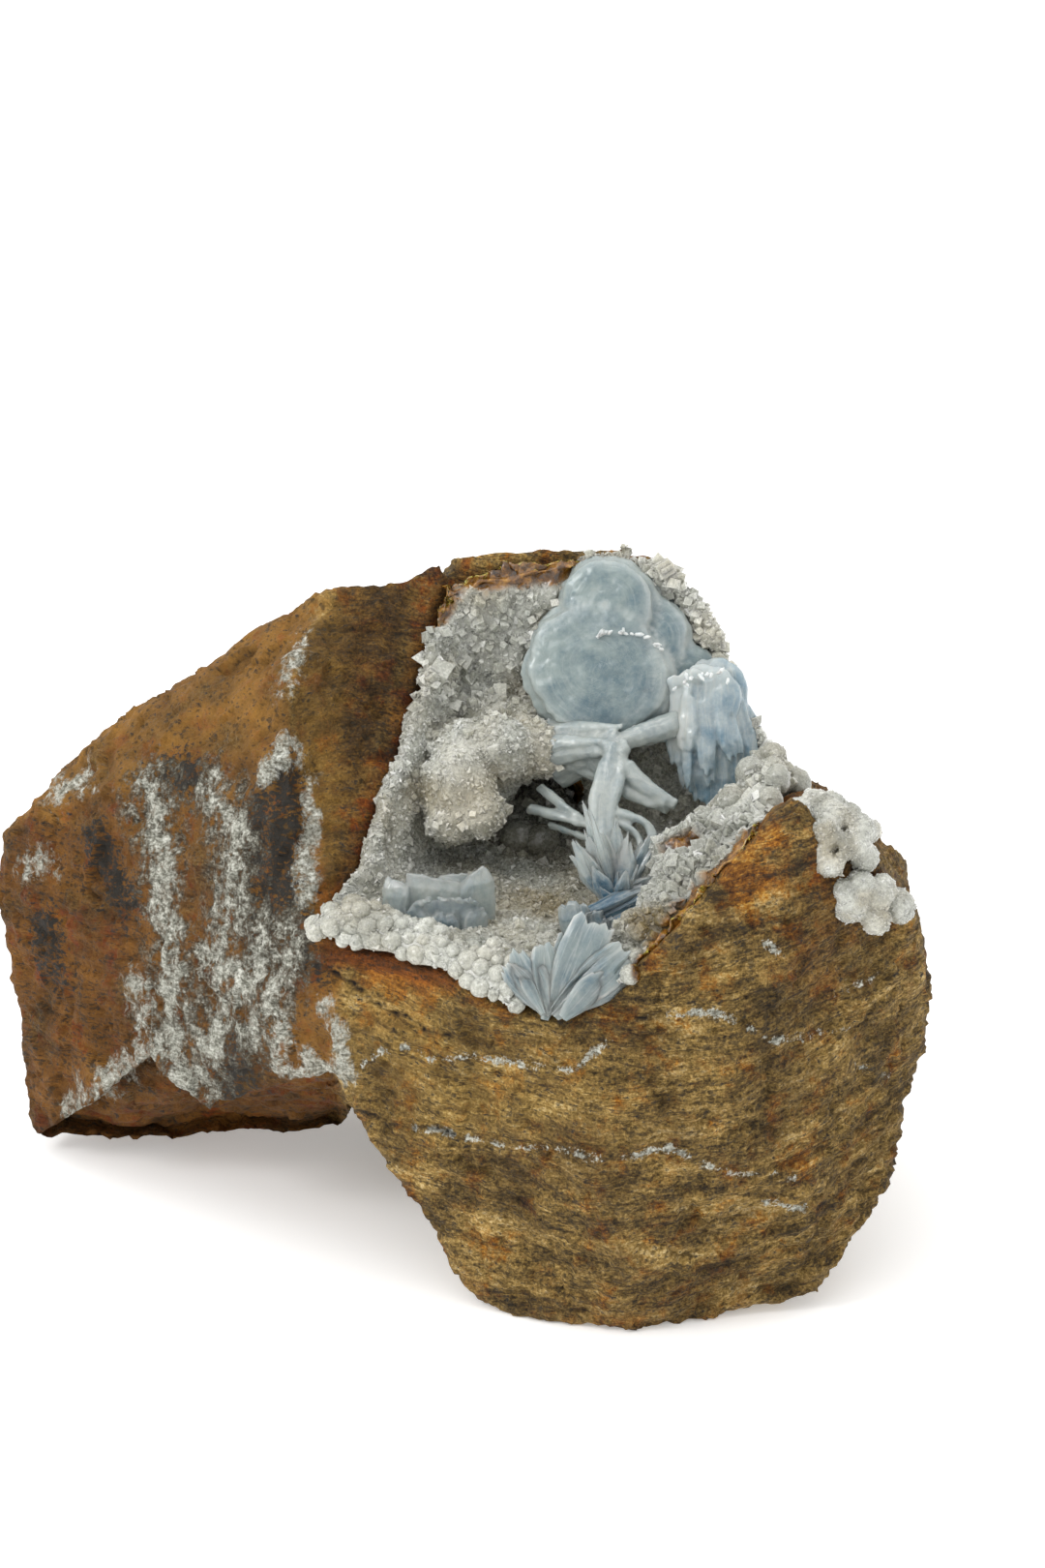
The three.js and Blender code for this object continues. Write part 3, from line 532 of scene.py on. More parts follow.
# the rock's colour, coat by coat: how much of each coat there is, its colour and how it lies
rock_colour = ochre
for share, coat, blend in (
    (patchy("rust", stain, 2), rusty, "MIX"),
    (patchy("olive", stain, 1), olive, "MIX"),
    (bloom, hex_colour("bd8c48"), "SOFT_LIGHT"),
    # golden patches, and painted light on the top of the left-hand block
    (golden_and_lit_top_share, hex_colour("8a6a30"), "SCREEN"),
    # painted shade in the hollows between the layers
    (hollow_painted_shade, hex_colour("261b0d"), "MIX"),
    (0.66, stain_tint, "MULTIPLY"),
    (pit, hex_colour("2b2415"), "MIX"),
    (seam_share, hex_colour("2e200f"), "MIX"),
    (patchy("soot", grain, 4.5), hex_colour("26221c"), "MIX"),
    (haze_share, haze_colour, "MIX"),
    (film_share, film_colour, "MIX"),
    (vein_share, film_colour, "MIX"),
    (crack_share, hex_colour("120c07"), "MIX"),
):
    rock_colour = node(
        schist,
        "Mix",
        "Result",
        data_type="RGBA",
        blend_type=blend,
        inputs={"Factor": share, "A": rock_colour, "B": coat},
    )

bump_fibre = node(schist, "Bump", inputs={"Height": fibre, "Strength": 0.5, "Distance": 0.4 * MM})
pitted_grain = node(schist, "Math", operation="MULTIPLY_ADD", inputs={0: pit, 1: -0.25, 2: fine})
bump_grain = node(
    schist,
    "Bump",
    inputs={"Height": pitted_grain, "Strength": 1, "Distance": 0.7 * MM, "Normal": bump_fibre},
)
rock_roughness = node(
    schist,
    "MapRange",
    inputs={"Value": grain, "From Min": 0.35, "From Max": 0.65, "To Min": 0.9, "To Max": 0.62},
)
rock_shader = node(
    schist,
    "BsdfPrincipled",
    inputs={
        "Base Color": rock_colour,
        "Roughness": rock_roughness,
        "Specular IOR Level": 0.3,
        "IOR": 1.5,
        "Normal": bump_grain,
    },
)
node(schist, "OutputMaterial", inputs={"Surface": rock_shader})
rock.data.materials.append(schist)
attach(rock, "root")
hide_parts("matrix")

# The crust: a skin of small pale crystals, 2 to 3 mm thick, that lines the whole hollow. It swells into
# a knob on the back wall and into sugary beads along the front rim. The skin is one mesh, and the
# crystals that stand on it are rhombs of carbonate, each a few tenths of a millimetre to over one.

CRUST_VOXEL = 0.5  # mm
POINT_SIZE, RHOMB_SIZE, BEAD_POINT_SIZE = 0.58, 0.55, 0.3  # mm, of most crystals
BALL_SIDES = (0.85, 1.1)  # least and most of a ball's half-width along each axis, in radii
HOLLOW = np.array([9.7, -34.9, 0])  # mm, from the frame's origin to the hollow's own axes
# Lines of round lumps, and single ones, on the hollow's own axes in mm
RIM_BEADS = [(-24.4, 14.8, 46), (-16.9, 13.8, 46.6), (-9.7, 9.4, 45.6), (-3, 5.8, 44.2), (1, 4.6, 42.6)]
RIGHT_LUMPS = [(27, 23, 61.5), (29.8, 23.8, 61.2), (32.4, 30, 60)]
UNDER_KNOB = [(-0.4, 43, 46), (2.3, 42.4, 45.7)]
LOW_RIGHT_BALLS = [(12, 3, 48.4), (14.4, 5, 50.4)]


def near(places, middle, reach):
    """1 at a middle given on the hollow's own axes, falling smoothly to 0 over a reach in mm."""
    away = (places - HOLLOW - np.array(middle)) / np.array(reach)
    return np.exp(-np.einsum("ij,ij->i", away, away))


def on_knob(places):
    return np.clip(near(places, (-6.5, 34, 56), (8, 7, 6)) + near(places, (0, 41, 60), (9, 5, 4)), 0, 1)


def on_rim(places):
    return smooth_step(-distance_to(places - HOLLOW, [RIM_BEADS]), -5, -2.5)


def on_right_lumps(places):
    return smooth_step(-distance_to(places - HOLLOW, [RIGHT_LUMPS]), -6, -3.5)


def on_right_mass(places):
    return np.clip(near(places, (20, 15, 54), (8, 8, 6)) + near(places, (27, 24, 58), (6, 8, 4)), 0, 1)


def beads(places, size, seed=0):
    """Rounded bumps grown against each other, that size in mm across: 1 on their tops, 0 between them."""
    chance = np.random.default_rng(seed)
    low, high = places.min(0) - size, places.max(0) + size
    middles = chance.uniform(low, high, (int(np.prod((high - low) / size) * 1.6), 3))
    tree = tree_of(middles)
    away = np.array([tree.find(p)[2] for p in places])
    return np.clip(1 - (away / (0.75 * size)) ** 2, 0, 1)


def join_as(name, pieces):
    """Joins pieces into one, without materials."""
    bpy.ops.object.select_all(action="DESELECT")
    for piece in pieces:
        piece.select_set(True)
    bpy.context.view_layer.objects.active = pieces[0]
    bpy.ops.object.join()
    piece = bpy.context.object
    piece.name = piece.data.name = name
    piece.data.materials.clear()
    return piece


def balls_on(places, outward, spacing, radii, sunk, seed):
    """Round balls set into a surface, no nearer to each other than a spacing in mm."""
    chance = np.random.default_rng(seed)
    bpy.ops.object.select_all(action="DESELECT")
    bpy.ops.mesh.primitive_ico_sphere_add(subdivisions=4, radius=1)
    pattern = bpy.context.object
    round_shape = corners(pattern) * MM
    taken, balls = [], []
    for i in chance.permutation(len(places)):
        if all(np.linalg.norm(places[i] - other) > spacing for other in taken):
            taken.append(places[i])
            radius = chance.uniform(*radii)
            middle = places[i] - outward[i] * sunk * radius
            ball = add_piece("ball", pattern.data.copy())
            move_corners(ball, round_shape * radius * chance.uniform(*BALL_SIDES, 3) + middle)
            balls.append(ball)
    bpy.data.objects.remove(pattern)
    return balls


crust = take("crystal_crust", "crystal_crust_skin")
reskin(crust, CRUST_VOXEL, 9)
places, outward = surface(crust)
knob = on_knob(places)
plain = 1 - np.maximum.reduce([knob, on_rim(places), on_right_lumps(places)])
places = places + outward * (
    0.3 * plain * swell(places, 3, 31)
    + 0.3 * plain * broken(places, 1.7, 32)
    + 0.3 * on_outcrops(places, 0.6) * broken(places, 1.6, 51)
    - 0.6 * on_outcrops(places, 0.6, rising=True)
    + knob * (0.45 * beads(places, 1.6, 38) - 0.35 * beads(places, 2.2, 39) ** 4)
)[:, None]
move_corners(crust, places)
bpy.ops.object.shade_smooth()

# Round lumps of the same crystal sit side by side on the rim, on the right and under the knob: along
# which line, how far from it, how far apart and of what radius, all in mm
places, outward = surface(crust)
open_side = outward @ np.array((0, -0.5, 0.85)) > 0
open_side &= (off_node("matrix", places) > 0.3) & (on_outcrops(places, 0.6) < 0.3)
lumps = []
for line, reach, spacing, radii, seed in (
    (RIM_BEADS, 3.6, 1.75, (0.8, 1.35), 37),
    (RIGHT_LUMPS, 5, 3, (1.6, 2.2), 38),
    (LOW_RIGHT_BALLS, 3, 2.2, (1, 1.6), 39),
):
    there = open_side & (distance_to(places - HOLLOW, [line]) < reach)
    lumps += balls_on(places[there], outward[there], spacing, radii, sunk=0.3, seed=seed)
lumps += balls_on(np.array(UNDER_KNOB) + HOLLOW, np.zeros((2, 3)), 1, (1.9, 2.5), sunk=0, seed=40)
crust_beads = join_as("crystal_crust_beads", lumps)
places, outward = surface(crust_beads)
grown = 0.12 * beads(places, 0.8, 41) + 0.06 * broken(places, 0.9, 42) + 0.08 * swell(places, 1.4, 43)
move_corners(crust_beads, places + outward * grown[:, None])
select_only(crust_beads)
bpy.ops.object.shade_smooth_by_angle(angle=math.radians(20))

# The crystals come in two shapes: most show only a corner of three faces, and the largest stand out
# whole, as a cube stood on its corner and drawn out
bpy.ops.object.select_all(action="DESELECT")
bpy.ops.mesh.primitive_cone_add(vertices=3, radius1=0.75, depth=0.62, location=(0, 0, 0))
corner_shape = bpy.context.object
bpy.ops.object.select_all(action="DESELECT")
bpy.ops.mesh.primitive_cube_add(size=1)
rhomb_shape = bpy.context.object
bpy.ops.object.mode_set(mode="EDIT")
bpy.ops.mesh.select_all(action="SELECT")
bpy.ops.transform.rotate(value=math.pi / 4, orient_axis="Z", center_override=(0, 0, 0))
bpy.ops.transform.rotate(value=math.atan(math.sqrt(2)), orient_axis="X", center_override=(0, 0, 0))
bpy.ops.transform.resize(value=(1, 1, 1.2), center_override=(0, 0, 0))
bpy.ops.object.mode_set(mode="OBJECT")
shapes = {}
for name, shape in (("corner", corner_shape), ("rhomb", rhomb_shape)):
    faces = [p.vertices[:] for p in shape.data.polygons]
    shapes[name] = (np.array([v.co[:] for v in shape.data.vertices]), faces)
    bpy.data.objects.remove(shape)


def encrust(name, shape, places, outward, sizes, lean, seed):
    """One mesh of a crystal for each place, each turned at random and leaning off the surface."""
    chance = np.random.default_rng(seed)
    shape_corners, shape_faces = shapes[shape]
    count, each = len(places), len(shape_corners)
    up = outward + chance.normal(0, lean, (count, 3))
    up /= np.linalg.norm(up, axis=1)[:, None]
    side = np.cross(up, chance.normal(0, 1, (count, 3)))
    side /= np.linalg.norm(side, axis=1)[:, None]
    third = np.cross(up, side)
    local = shape_corners[None] * (chance.uniform(0.8, 1.25, (count, 3)) * sizes[:, None])[:, None]
    world = (
        places[:, None]
        + local[..., :1] * side[:, None]
        + local[..., 1:2] * third[:, None]
        + local[..., 2:] * up[:, None]
    )
    faces = [[corner + each * i for corner in face] for i in range(count) for face in shape_faces]
    mesh = bpy.data.meshes.new(name)
    mesh.from_pydata((world.reshape(-1, 3) * MM).tolist(), [], faces)
    piece = add_piece(name, mesh)
    note(piece, "tone", np.repeat(chance.uniform(0, 1, count), each))
    return piece


chance = np.random.default_rng(33)
places, outward = surface(crust)
knob, rim, right_mass = on_knob(places), on_rim(places), on_right_mass(places)
shown = off_node("matrix", places) > 0.9
wanted = np.clip(0.75 - 0.4 * right_mass - 0.3 * rim, 0, 1) * (on_outcrops(places, 0.6) < 0.4)
small = np.where(shown & (chance.uniform(0, 1, len(places)) < wanted))[0]
small_sizes = POINT_SIZE * (1 - 0.2 * knob - 0.25 * rim) * chance.lognormal(0, 0.25, len(places))
small_crystals = encrust(
    "crystal_crust_points",
    "corner",
    places[small] + chance.normal(0, 0.12, (len(small), 3)),
    outward[small],
    small_sizes[small],
    lean=0.35,
    seed=34,
)
back = smooth_step(places[:, 1], 2, 6) * (1 - knob)
few = np.clip(0.025 + 0.4 * right_mass + 0.07 * back, 0, 1) * (on_outcrops(places, 0.6) < 0.4)
large = np.where(shown & (chance.uniform(0, 1, len(places)) < few))[0]
large_sizes = (RHOMB_SIZE + 0.35 * right_mass + 0.3 * back) * chance.lognormal(0, 0.3, len(places))
large_crystals = encrust(
    "crystal_crust_rhombs",
    "rhomb",
    places[large],
    outward[large],
    large_sizes[large],
    lean=0.5,
    seed=35,
)
places, outward = surface(crust_beads)
kept = np.where((chance.uniform(0, 1, len(places)) < 0.05) & (outward[:, 2] > -0.3))[0]
sizes = BEAD_POINT_SIZE * chance.lognormal(0, 0.3, len(kept))
bead_crystals = encrust(
    "crystal_crust_bead_points", "corner", places[kept], outward[kept], sizes, lean=0.4, seed=36
)


def crust_shades(places):
    """How white, from 0 to 1, with painted shade deep under the knob and the arch, and how beige-stained the
    crust is at each place.
    """
    knob, rim, right_mass = on_knob(places), on_rim(places), on_right_mass(places)
    white = 0.44 + 0.16 * swell(places, 5, 35) + 0.24 * knob + 0.1 * rim - 0.06 * right_mass
    # painted shade: deep at the back, under the knob and the arch, the crust is made less white
    deep = near(places, (0, 42, 47), (9, 9, 5))
    dirt = near(places, (15.5, 4, 51), (3, 4, 2))
    stain = 0.1 + 0.3 * swell(places, 4, 36) + 0.3 * knob - 0.2 * right_mass
    stain += 0.5 * near(places, (3, 26, 44), (10, 8, 5))
    return np.clip(white - 0.25 * deep - 0.3 * dirt, 0, 1), np.clip(stain + 1.5 * dirt, 0, 1)


# Colourless to grey carbonate, stained beige in places, whiter on the beads of the rim: it glitters
# from small glassy faces, and light goes a little way in
carbonate = new_material("sugary_carbonate")
white_share, tone_share, beige_share, earth = [
    node(carbonate, "Attribute", "Fac", attribute_name=name) for name in ("white", "tone", "stain", "earth")
]
carbonate_place = node(
    carbonate,
    "VectorMath",
    operation="SCALE",
    inputs={0: node(carbonate, "TexCoord", "Object"), "Scale": 1 / MM},
)
frost = node(
    carbonate, "TexNoise", inputs={"Vector": carbonate_place, "Scale": 2.2, "Detail": 4, "Roughness": 0.65}
)
frosted = node(carbonate, "Math", operation="MULTIPLY_ADD", inputs={0: frost, 1: 0.5, 2: white_share})
lightness = node(carbonate, "Math", operation="MULTIPLY_ADD", inputs={0: tone_share, 1: 0.22, 2: frosted})
grey = node(
    carbonate,
    "ValToRGB",
    stops=[(0.25, "67675f"), (0.5, "8c8d84"), (0.75, "b0b1a7"), (1.0, "dadbd2")],
    inputs={"Fac": lightness},
)
beige = node(
    carbonate,
    "Mix",
    "Result",
    data_type="RGBA",
    blend_type="MULTIPLY",
    inputs={"Factor": beige_share, "A": grey, "B": hex_colour("dfc79c")},
)
# the rock's own brown, where it rises over the crust
earth_stain = node(
    carbonate, "TexNoise", inputs={"Vector": carbonate_place, "Scale": 0.5, "Detail": 7, "Roughness": 0.72}
)
earth_colour = node(
    carbonate,
    "ValToRGB",
    stops=[(0.34, "231506"), (0.45, "55360f"), (0.53, "80561b"), (0.64, "a87e37")],
    inputs={"Fac": earth_stain},
)
coloured = node(
    carbonate, "Mix", "Result", data_type="RGBA", inputs={"Factor": earth, "A": beige, "B": earth_colour}
)
clear_share = node(carbonate, "MapRange", inputs={"Value": earth, "To Min": 0.15, "To Max": 0})
gloss = node(
    carbonate,
    "MapRange",
    inputs={"Value": frost, "From Min": 0.3, "From Max": 0.7, "To Min": 0.12, "To Max": 0.4},
)
carbonate_shader = node(
    carbonate,
    "BsdfPrincipled",
    inputs={
        "Base Color": coloured,
        "Roughness": gloss,
        "IOR": 1.6,
        "Transmission Weight": clear_share,
        "Subsurface Weight": 0.7,
        "Subsurface Radius": (1, 1, 1),
        "Subsurface Scale": 0.8 * MM,
    },
)
node(carbonate, "OutputMaterial", inputs={"Surface": carbonate_shader})
for piece in (crust, small_crystals, large_crystals, crust_beads, bead_crystals):
    white, stain = crust_shades(corners(piece))
    note(piece, "white", white)
    note(piece, "stain", stain)
    note(piece, "earth", on_outcrops(corners(piece), 0.6))
    piece.data.materials.append(carbonate)
    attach(piece, "root")
    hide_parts("crystal_crust")

# The round plates, high on the back wall: blue barite in thin round leaves grown side by side, a little
# smaller towards the front. They are glassy and milky inside, finely lined in rings as they grew, and
# frosted white along their edges.

PLATE_FACING = (-0.12, -0.9, 0.42)
PLATES = [  # centre, facing, radius, thickness and number of leaves
    ((8.8, 43.6, 68.6), PLATE_FACING, 9.2, 3.2, 4),
    ((12, 42.4, 67.4), PLATE_FACING, 7.3, 2.4, 3),
    ((10.9, 47.4, 75.4), PLATE_FACING, 6.6, 3, 3),
    ((15.4, 46.6, 71.2), PLATE_FACING, 6.2, 3, 3),
    ((20.4, 44.8, 66.8), (0.2, -0.9, 0.38), 4.8, 3, 3),
]
DISC_SIDES = 60


def disc_pattern():
    """A round leaf of unit radius and thickness, its two faces drawn in ring by ring."""
    bpy.ops.object.select_all(action="DESELECT")
    bpy.ops.mesh.primitive_cylinder_add(vertices=DISC_SIDES, radius=1, depth=1)
    pattern = bpy.context.object
    bpy.ops.object.mode_set(mode="EDIT")
    bpy.ops.mesh.select_mode(type="FACE")
    for side in (1, -1):
        for ring in (0.03, 0.06, 0.1, 0.12, 0.14, 0.16, 0.18):
            bpy.ops.mesh.select_all(action="DESELECT")
            bpy.ops.object.mode_set(mode="OBJECT")
            for face in pattern.data.polygons:
                face.select = face.normal.z * side > 0.9 and len(face.vertices) > 4
            bpy.ops.object.mode_set(mode="EDIT")
            bpy.ops.mesh.inset(thickness=ring)
    bpy.ops.object.mode_set(mode="OBJECT")
    return pattern


def set_in(pattern, local, place, axes, growth, frosted):
    """A copy of a pattern, shaped to local places in mm and set with its root at a place in the hollow.
    growth gives the places that its growth lines follow, frosted how white it is."""
    piece = add_piece("crystal", pattern.data.copy())
    tone = chance.uniform(0, 1)
    note(piece, "growth", growth + 40 * tone)
    note(piece, "tone", np.full(len(local), tone))
    note(piece, "frosted", frosted)
    move_corners(piece, local @ np.array(axes) + np.array(place) + HOLLOW)
    return piece


def plate(centre, facing, radius, thick, leaves):
    """A round plate: its leaves, each a little tilted, uneven in outline and domed."""
    out = np.array(facing, float) / np.linalg.norm(facing)
    sideways = np.cross(out, (0, 0, 1))
    sideways /= np.linalg.norm(sideways)
    axes = (sideways, out, np.cross(sideways, out))
    x, y, depth = np.array([c.co[:] for c in disc_block.data.vertices]).T
    reach, turn = np.hypot(x, y), np.arctan2(y, x)
    sector = np.rint(turn / (2 * math.pi) * DISC_SIDES).astype(int) % DISC_SIDES
    grown = []
    for i in range(leaves):
        share = i / (leaves - 1)
        phase = chance.uniform(0, 6.28, 3)
        uneven = 1 + 0.03 * np.sin(3 * turn + phase[0]) + 0.016 * np.sin(8 * turn + phase[1])
        uneven += 0.012 * chance.normal(0, 1, DISC_SIDES)[sector] * reach**4
        size = radius * (1 - 0.13 * share**1.5) * uneven
        shift = chance.normal(0, 0.02, 2) * radius
        tilt = chance.normal(0, 0.03, 2) * radius
        rings = 0.025 * np.sin(reach * size * 4.2 + phase[2]) * (reach < 0.97)
        face = np.where(depth > 0, 0.5 * thick * 0.3 * (1 - reach**2) + rings, 0)
        body = depth * thick / leaves * 1.3 * (1 - 0.5 * np.clip(reach, 0, 1) ** 8)
        level = body + face + (share - 0.5) * thick * 0.85 + x * tilt[0] + y * tilt[1]
        local = np.stack([x * size + shift[0], level, y * size + shift[1]], axis=1)
        growth = np.stack([reach * size, x * size / 6, y * size], axis=1)
        frosted = 0.6 * reach**12 + 0.3 * smooth_step(-x, 0.6, 0.95)
        grown.append(set_in(disc_block, local, centre, axes, growth, frosted))
    return grown


def melt_together(name, crystals, voxel, rounds, seed):
    """Joins crystals under one smooth skin, made of voxels in mm, which keeps their growth lines."""
    piece = join_as(name, crystals)
    tree = tree_of(corners(piece))
    before = {}
    for key, each, field in (("growth", 3, "vector"), ("tone", 1, "value"), ("frosted", 1, "value")):
        values = np.empty(each * len(piece.data.vertices), np.float32)
        piece.data.attributes[key].data.foreach_get(field, values)
        before[key] = values.reshape(-1, each)
    reskin(piece, voxel, rounds)
    places, outward = surface(piece)
    near_by = [tree.find_n(p, 6) for p in places]
    nearest = np.array([[found[1] for found in group] for group in near_by])
    weight = np.array([[1 / (found[2] ** 2 + 0.01) for found in group] for group in near_by])
    weight /= weight.sum(1)[:, None]
    growth, tone, frosted = [(values[nearest] * weight[..., None]).sum(1) for values in before.values()]
    uneven = 0.14 * swell(places, 1.6, seed) + 0.07 * swell(places, 0.6, seed + 1)
    places = places + outward * uneven[:, None]
    move_corners(piece, places)
    note(piece, "growth", growth)
    note(piece, "tone", tone[:, 0] * 0.5 + 0.25 + 0.25 * swell(places, 4, seed + 2))
    note(piece, "frosted", np.clip(frosted[:, 0], 0, 1))
    bpy.ops.object.shade_smooth()
    return piece


def barite_finish(piece, name, pale, deep, clear, gloss, lined=1):
    """Gives a piece its own blue barite. pale and deep are its two blues, clear is how much light goes
    straight through, gloss is its roughness, and lined is how strongly its growth lines show."""
    barite = new_material(name)
    growth = node(barite, "Attribute", "Vector", attribute_name="growth")
    crystal_tone, root_blue_and_painted_shade, edge_white = [
        node(barite, "Attribute", "Fac", attribute_name=key) for key in ("tone", "deep", "frosted")
    ]
    # growth lines 0.3 mm apart
    line_place = node(barite, "VectorMath", operation="MULTIPLY", inputs={0: growth, 1: (3, 1.5, 0.2)})
    lines = node(
        barite, "TexNoise", inputs={"Vector": line_place, "Scale": 1, "Detail": 4, "Roughness": 0.62}
    )
    # milky clouds 3 mm across
    place = node(barite, "TexCoord", "Object")
    cloud = node(
        barite, "TexNoise", inputs={"Vector": place, "Scale": 0.33 / MM, "Detail": 6, "Roughness": 0.7}
    )
    # each crystal's own tone, and the blue deepening towards the roots; on the round plates and the sheaf the
    # deeper blue is also painted shade on their lower parts
    tone = node(
        barite, "Math", operation="MULTIPLY_ADD", inputs={0: crystal_tone, 1: 0.22, 2: root_blue_and_painted_shade}
    )
    clouded = node(barite, "Math", operation="MULTIPLY_ADD", inputs={0: cloud, 1: 2.8, 2: -1.4})
    depth_of_blue = node(barite, "Math", operation="ADD", inputs={0: tone, 1: clouded}, use_clamp=True)
    blue = node(
        barite,
        "Mix",
        "Result",
        data_type="RGBA",
        inputs={"Factor": depth_of_blue, "A": hex_colour(pale), "B": hex_colour(deep)},
    )
    # white flaws run along the lines, and the thin edges are frosted
    flaw = node(
        barite,
        "Math",
        operation="MULTIPLY_ADD",
        inputs={0: lines, 1: 3 * lined, 2: -1.55 * lined},
        use_clamp=True,
    )
    white_share = node(
        barite, "Math", operation="MULTIPLY_ADD", inputs={0: edge_white, 1: 0.75, 2: flaw}, use_clamp=True
    )
    colour = node(
        barite,
        "Mix",
        "Result",
        data_type="RGBA",
        inputs={"Factor": white_share, "A": blue, "B": hex_colour("d6dad5")},
    )
    bump = node(barite, "Bump", inputs={"Height": lines, "Strength": 0.6 * lined, "Distance": 0.2 * MM})
    shader = node(
        barite,
        "BsdfPrincipled",
        inputs={
            "Base Color": colour,
            "Roughness": gloss,
            "IOR": 1.64,
            "Transmission Weight": clear,
            "Subsurface Weight": 0.7,
            "Subsurface Radius": (0.9, 1, 1.1),
            "Subsurface Scale": 1.5 * MM,
            "Normal": bump,
        },
    )
    node(barite, "OutputMaterial", inputs={"Surface": shader})
    piece.data.materials.append(barite)


chance = np.random.default_rng(51)
disc_block = disc_pattern()
plate_leaves = [leaf for sizes in PLATES for leaf in plate(*sizes)]
round_plates = melt_together("barite_round_plates", plate_leaves, voxel=0.26, rounds=20, seed=74)
there = corners(round_plates)
# painted shade: the lower part of the front plates is made a deeper blue; the rest of deep is the plates' own
# blue, varying
deep = 0.2 + 0.45 * near(there, (14, 40, 64), (7, 6, 6)) + 0.3 * near(there, (17, 46, 72), (7, 6, 7))
deep += 0.15 * swell(there, 4, 44) - 0.3 * near(there, (1, 42, 68), (3, 6, 7))
deep -= 0.25 * near(there, (9, 46, 80), (5, 6, 4))
note(round_plates, "deep", deep)
# Barite crystallised slowly from solution, clouded with tiny bubbles: a greyed sky blue, waxy to glassy
barite_finish(round_plates, "clouded_barite", "95a4a2", "52707c", clear=0.25, gloss=0.22, lined=0.4)
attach(round_plates, "root")
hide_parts("barite_main_cluster")

# The sheaf, to the right of the plates: long blades of barite that hang side by side from a round
# crest, split along their length, chipped white on top and ragged at their lower ends.

SHEAF_FACING = (-0.25, -0.9, 0.3)
SHEAF_BLADES = [  # root, tip, facing, width, thickness, widths at the root and tip, raggedness
    ((19.4, 41, 66.8), (18.9, 37.8, 57.4), (-0.5, -0.85, 0.3), 3, 1.4, 0.7, 0.7, 0.09),
    ((20.6, 41, 67.6), (20.4, 37.2, 54.4), (-0.35, -0.9, 0.3), 3.6, 1.5, 0.7, 0.7, 0.08),
    ((22, 41, 68.4), (22.4, 36.6, 52.4), (-0.3, -0.9, 0.3), 3.8, 1.6, 0.7, 0.7, 0.06),
    ((23.6, 40.5, 68.4), (24.6, 36.2, 51.6), (0, -0.95, 0.3), 4, 1.6, 0.7, 0.7, 0.06),
    ((24.8, 40.6, 67.8), (27, 36.8, 52.6), (0.15, -0.95, 0.3), 3.6, 1.6, 0.7, 0.7, 0.06),
    ((25.8, 41, 66.8), (28.8, 37.6, 55.4), (0.3, -0.9, 0.3), 3.4, 1.5, 0.7, 0.7, 0.08),
    ((26.6, 41.6, 65.6), (29.8, 38.8, 58.6), (0.4, -0.9, 0.3), 3, 1.4, 0.7, 0.7, 0.09),
    ((20.6, 39.8, 66.4), (20.2, 36.8, 60), (-0.5, -0.85, 0.3), 3, 1.3, 0.7, 0.7, 0.1),
    ((24.6, 39.6, 66), (26, 36, 58.6), (0.2, -0.9, 0.3), 3, 1.3, 0.7, 0.7, 0.1),
    ((22.4, 39.4, 66), (23, 35.8, 57), (-0.1, -0.9, 0.3), 2.6, 1.2, 0.7, 0.6, 0.1),
    ((19.8, 41, 66), (18.6, 40.6, 69), SHEAF_FACING, 2.6, 1.2, 0.8, 0.6, 0.1),
    ((21.4, 41, 67), (21.2, 40.4, 70), SHEAF_FACING, 3, 1.2, 0.8, 0.6, 0.1),
    ((23.6, 41, 67), (24.4, 40.6, 69.6), SHEAF_FACING, 3, 1.2, 0.8, 0.6, 0.1),
]
BLADE_COLUMNS = 8


def blade_pattern():
    """A block a unit long, wide and thick that stands on its root, with rows and columns to shape."""
    bpy.ops.object.select_all(action="DESELECT")
    bpy.ops.mesh.primitive_cube_add(size=1, location=(0, 0, 0.5))
    pattern = bpy.context.object
    bpy.ops.object.mode_set(mode="EDIT")
    for height in (0.16, 0.32, 0.48, 0.62, 0.76, 0.9):
        bpy.ops.mesh.select_all(action="SELECT")
        bpy.ops.mesh.bisect(plane_co=(0, 0, height), plane_no=(0, 0, 1))
    for i in range(1, BLADE_COLUMNS):
        bpy.ops.mesh.select_all(action="SELECT")
        bpy.ops.mesh.bisect(plane_co=(i / BLADE_COLUMNS - 0.5, 0, 0.5), plane_no=(1, 0, 0))
    bpy.ops.object.mode_set(mode="OBJECT")
    pattern.data.transform(Matrix.Translation((0, 0, 0.5)))
    pattern.location = (0, 0, 0)
    return pattern


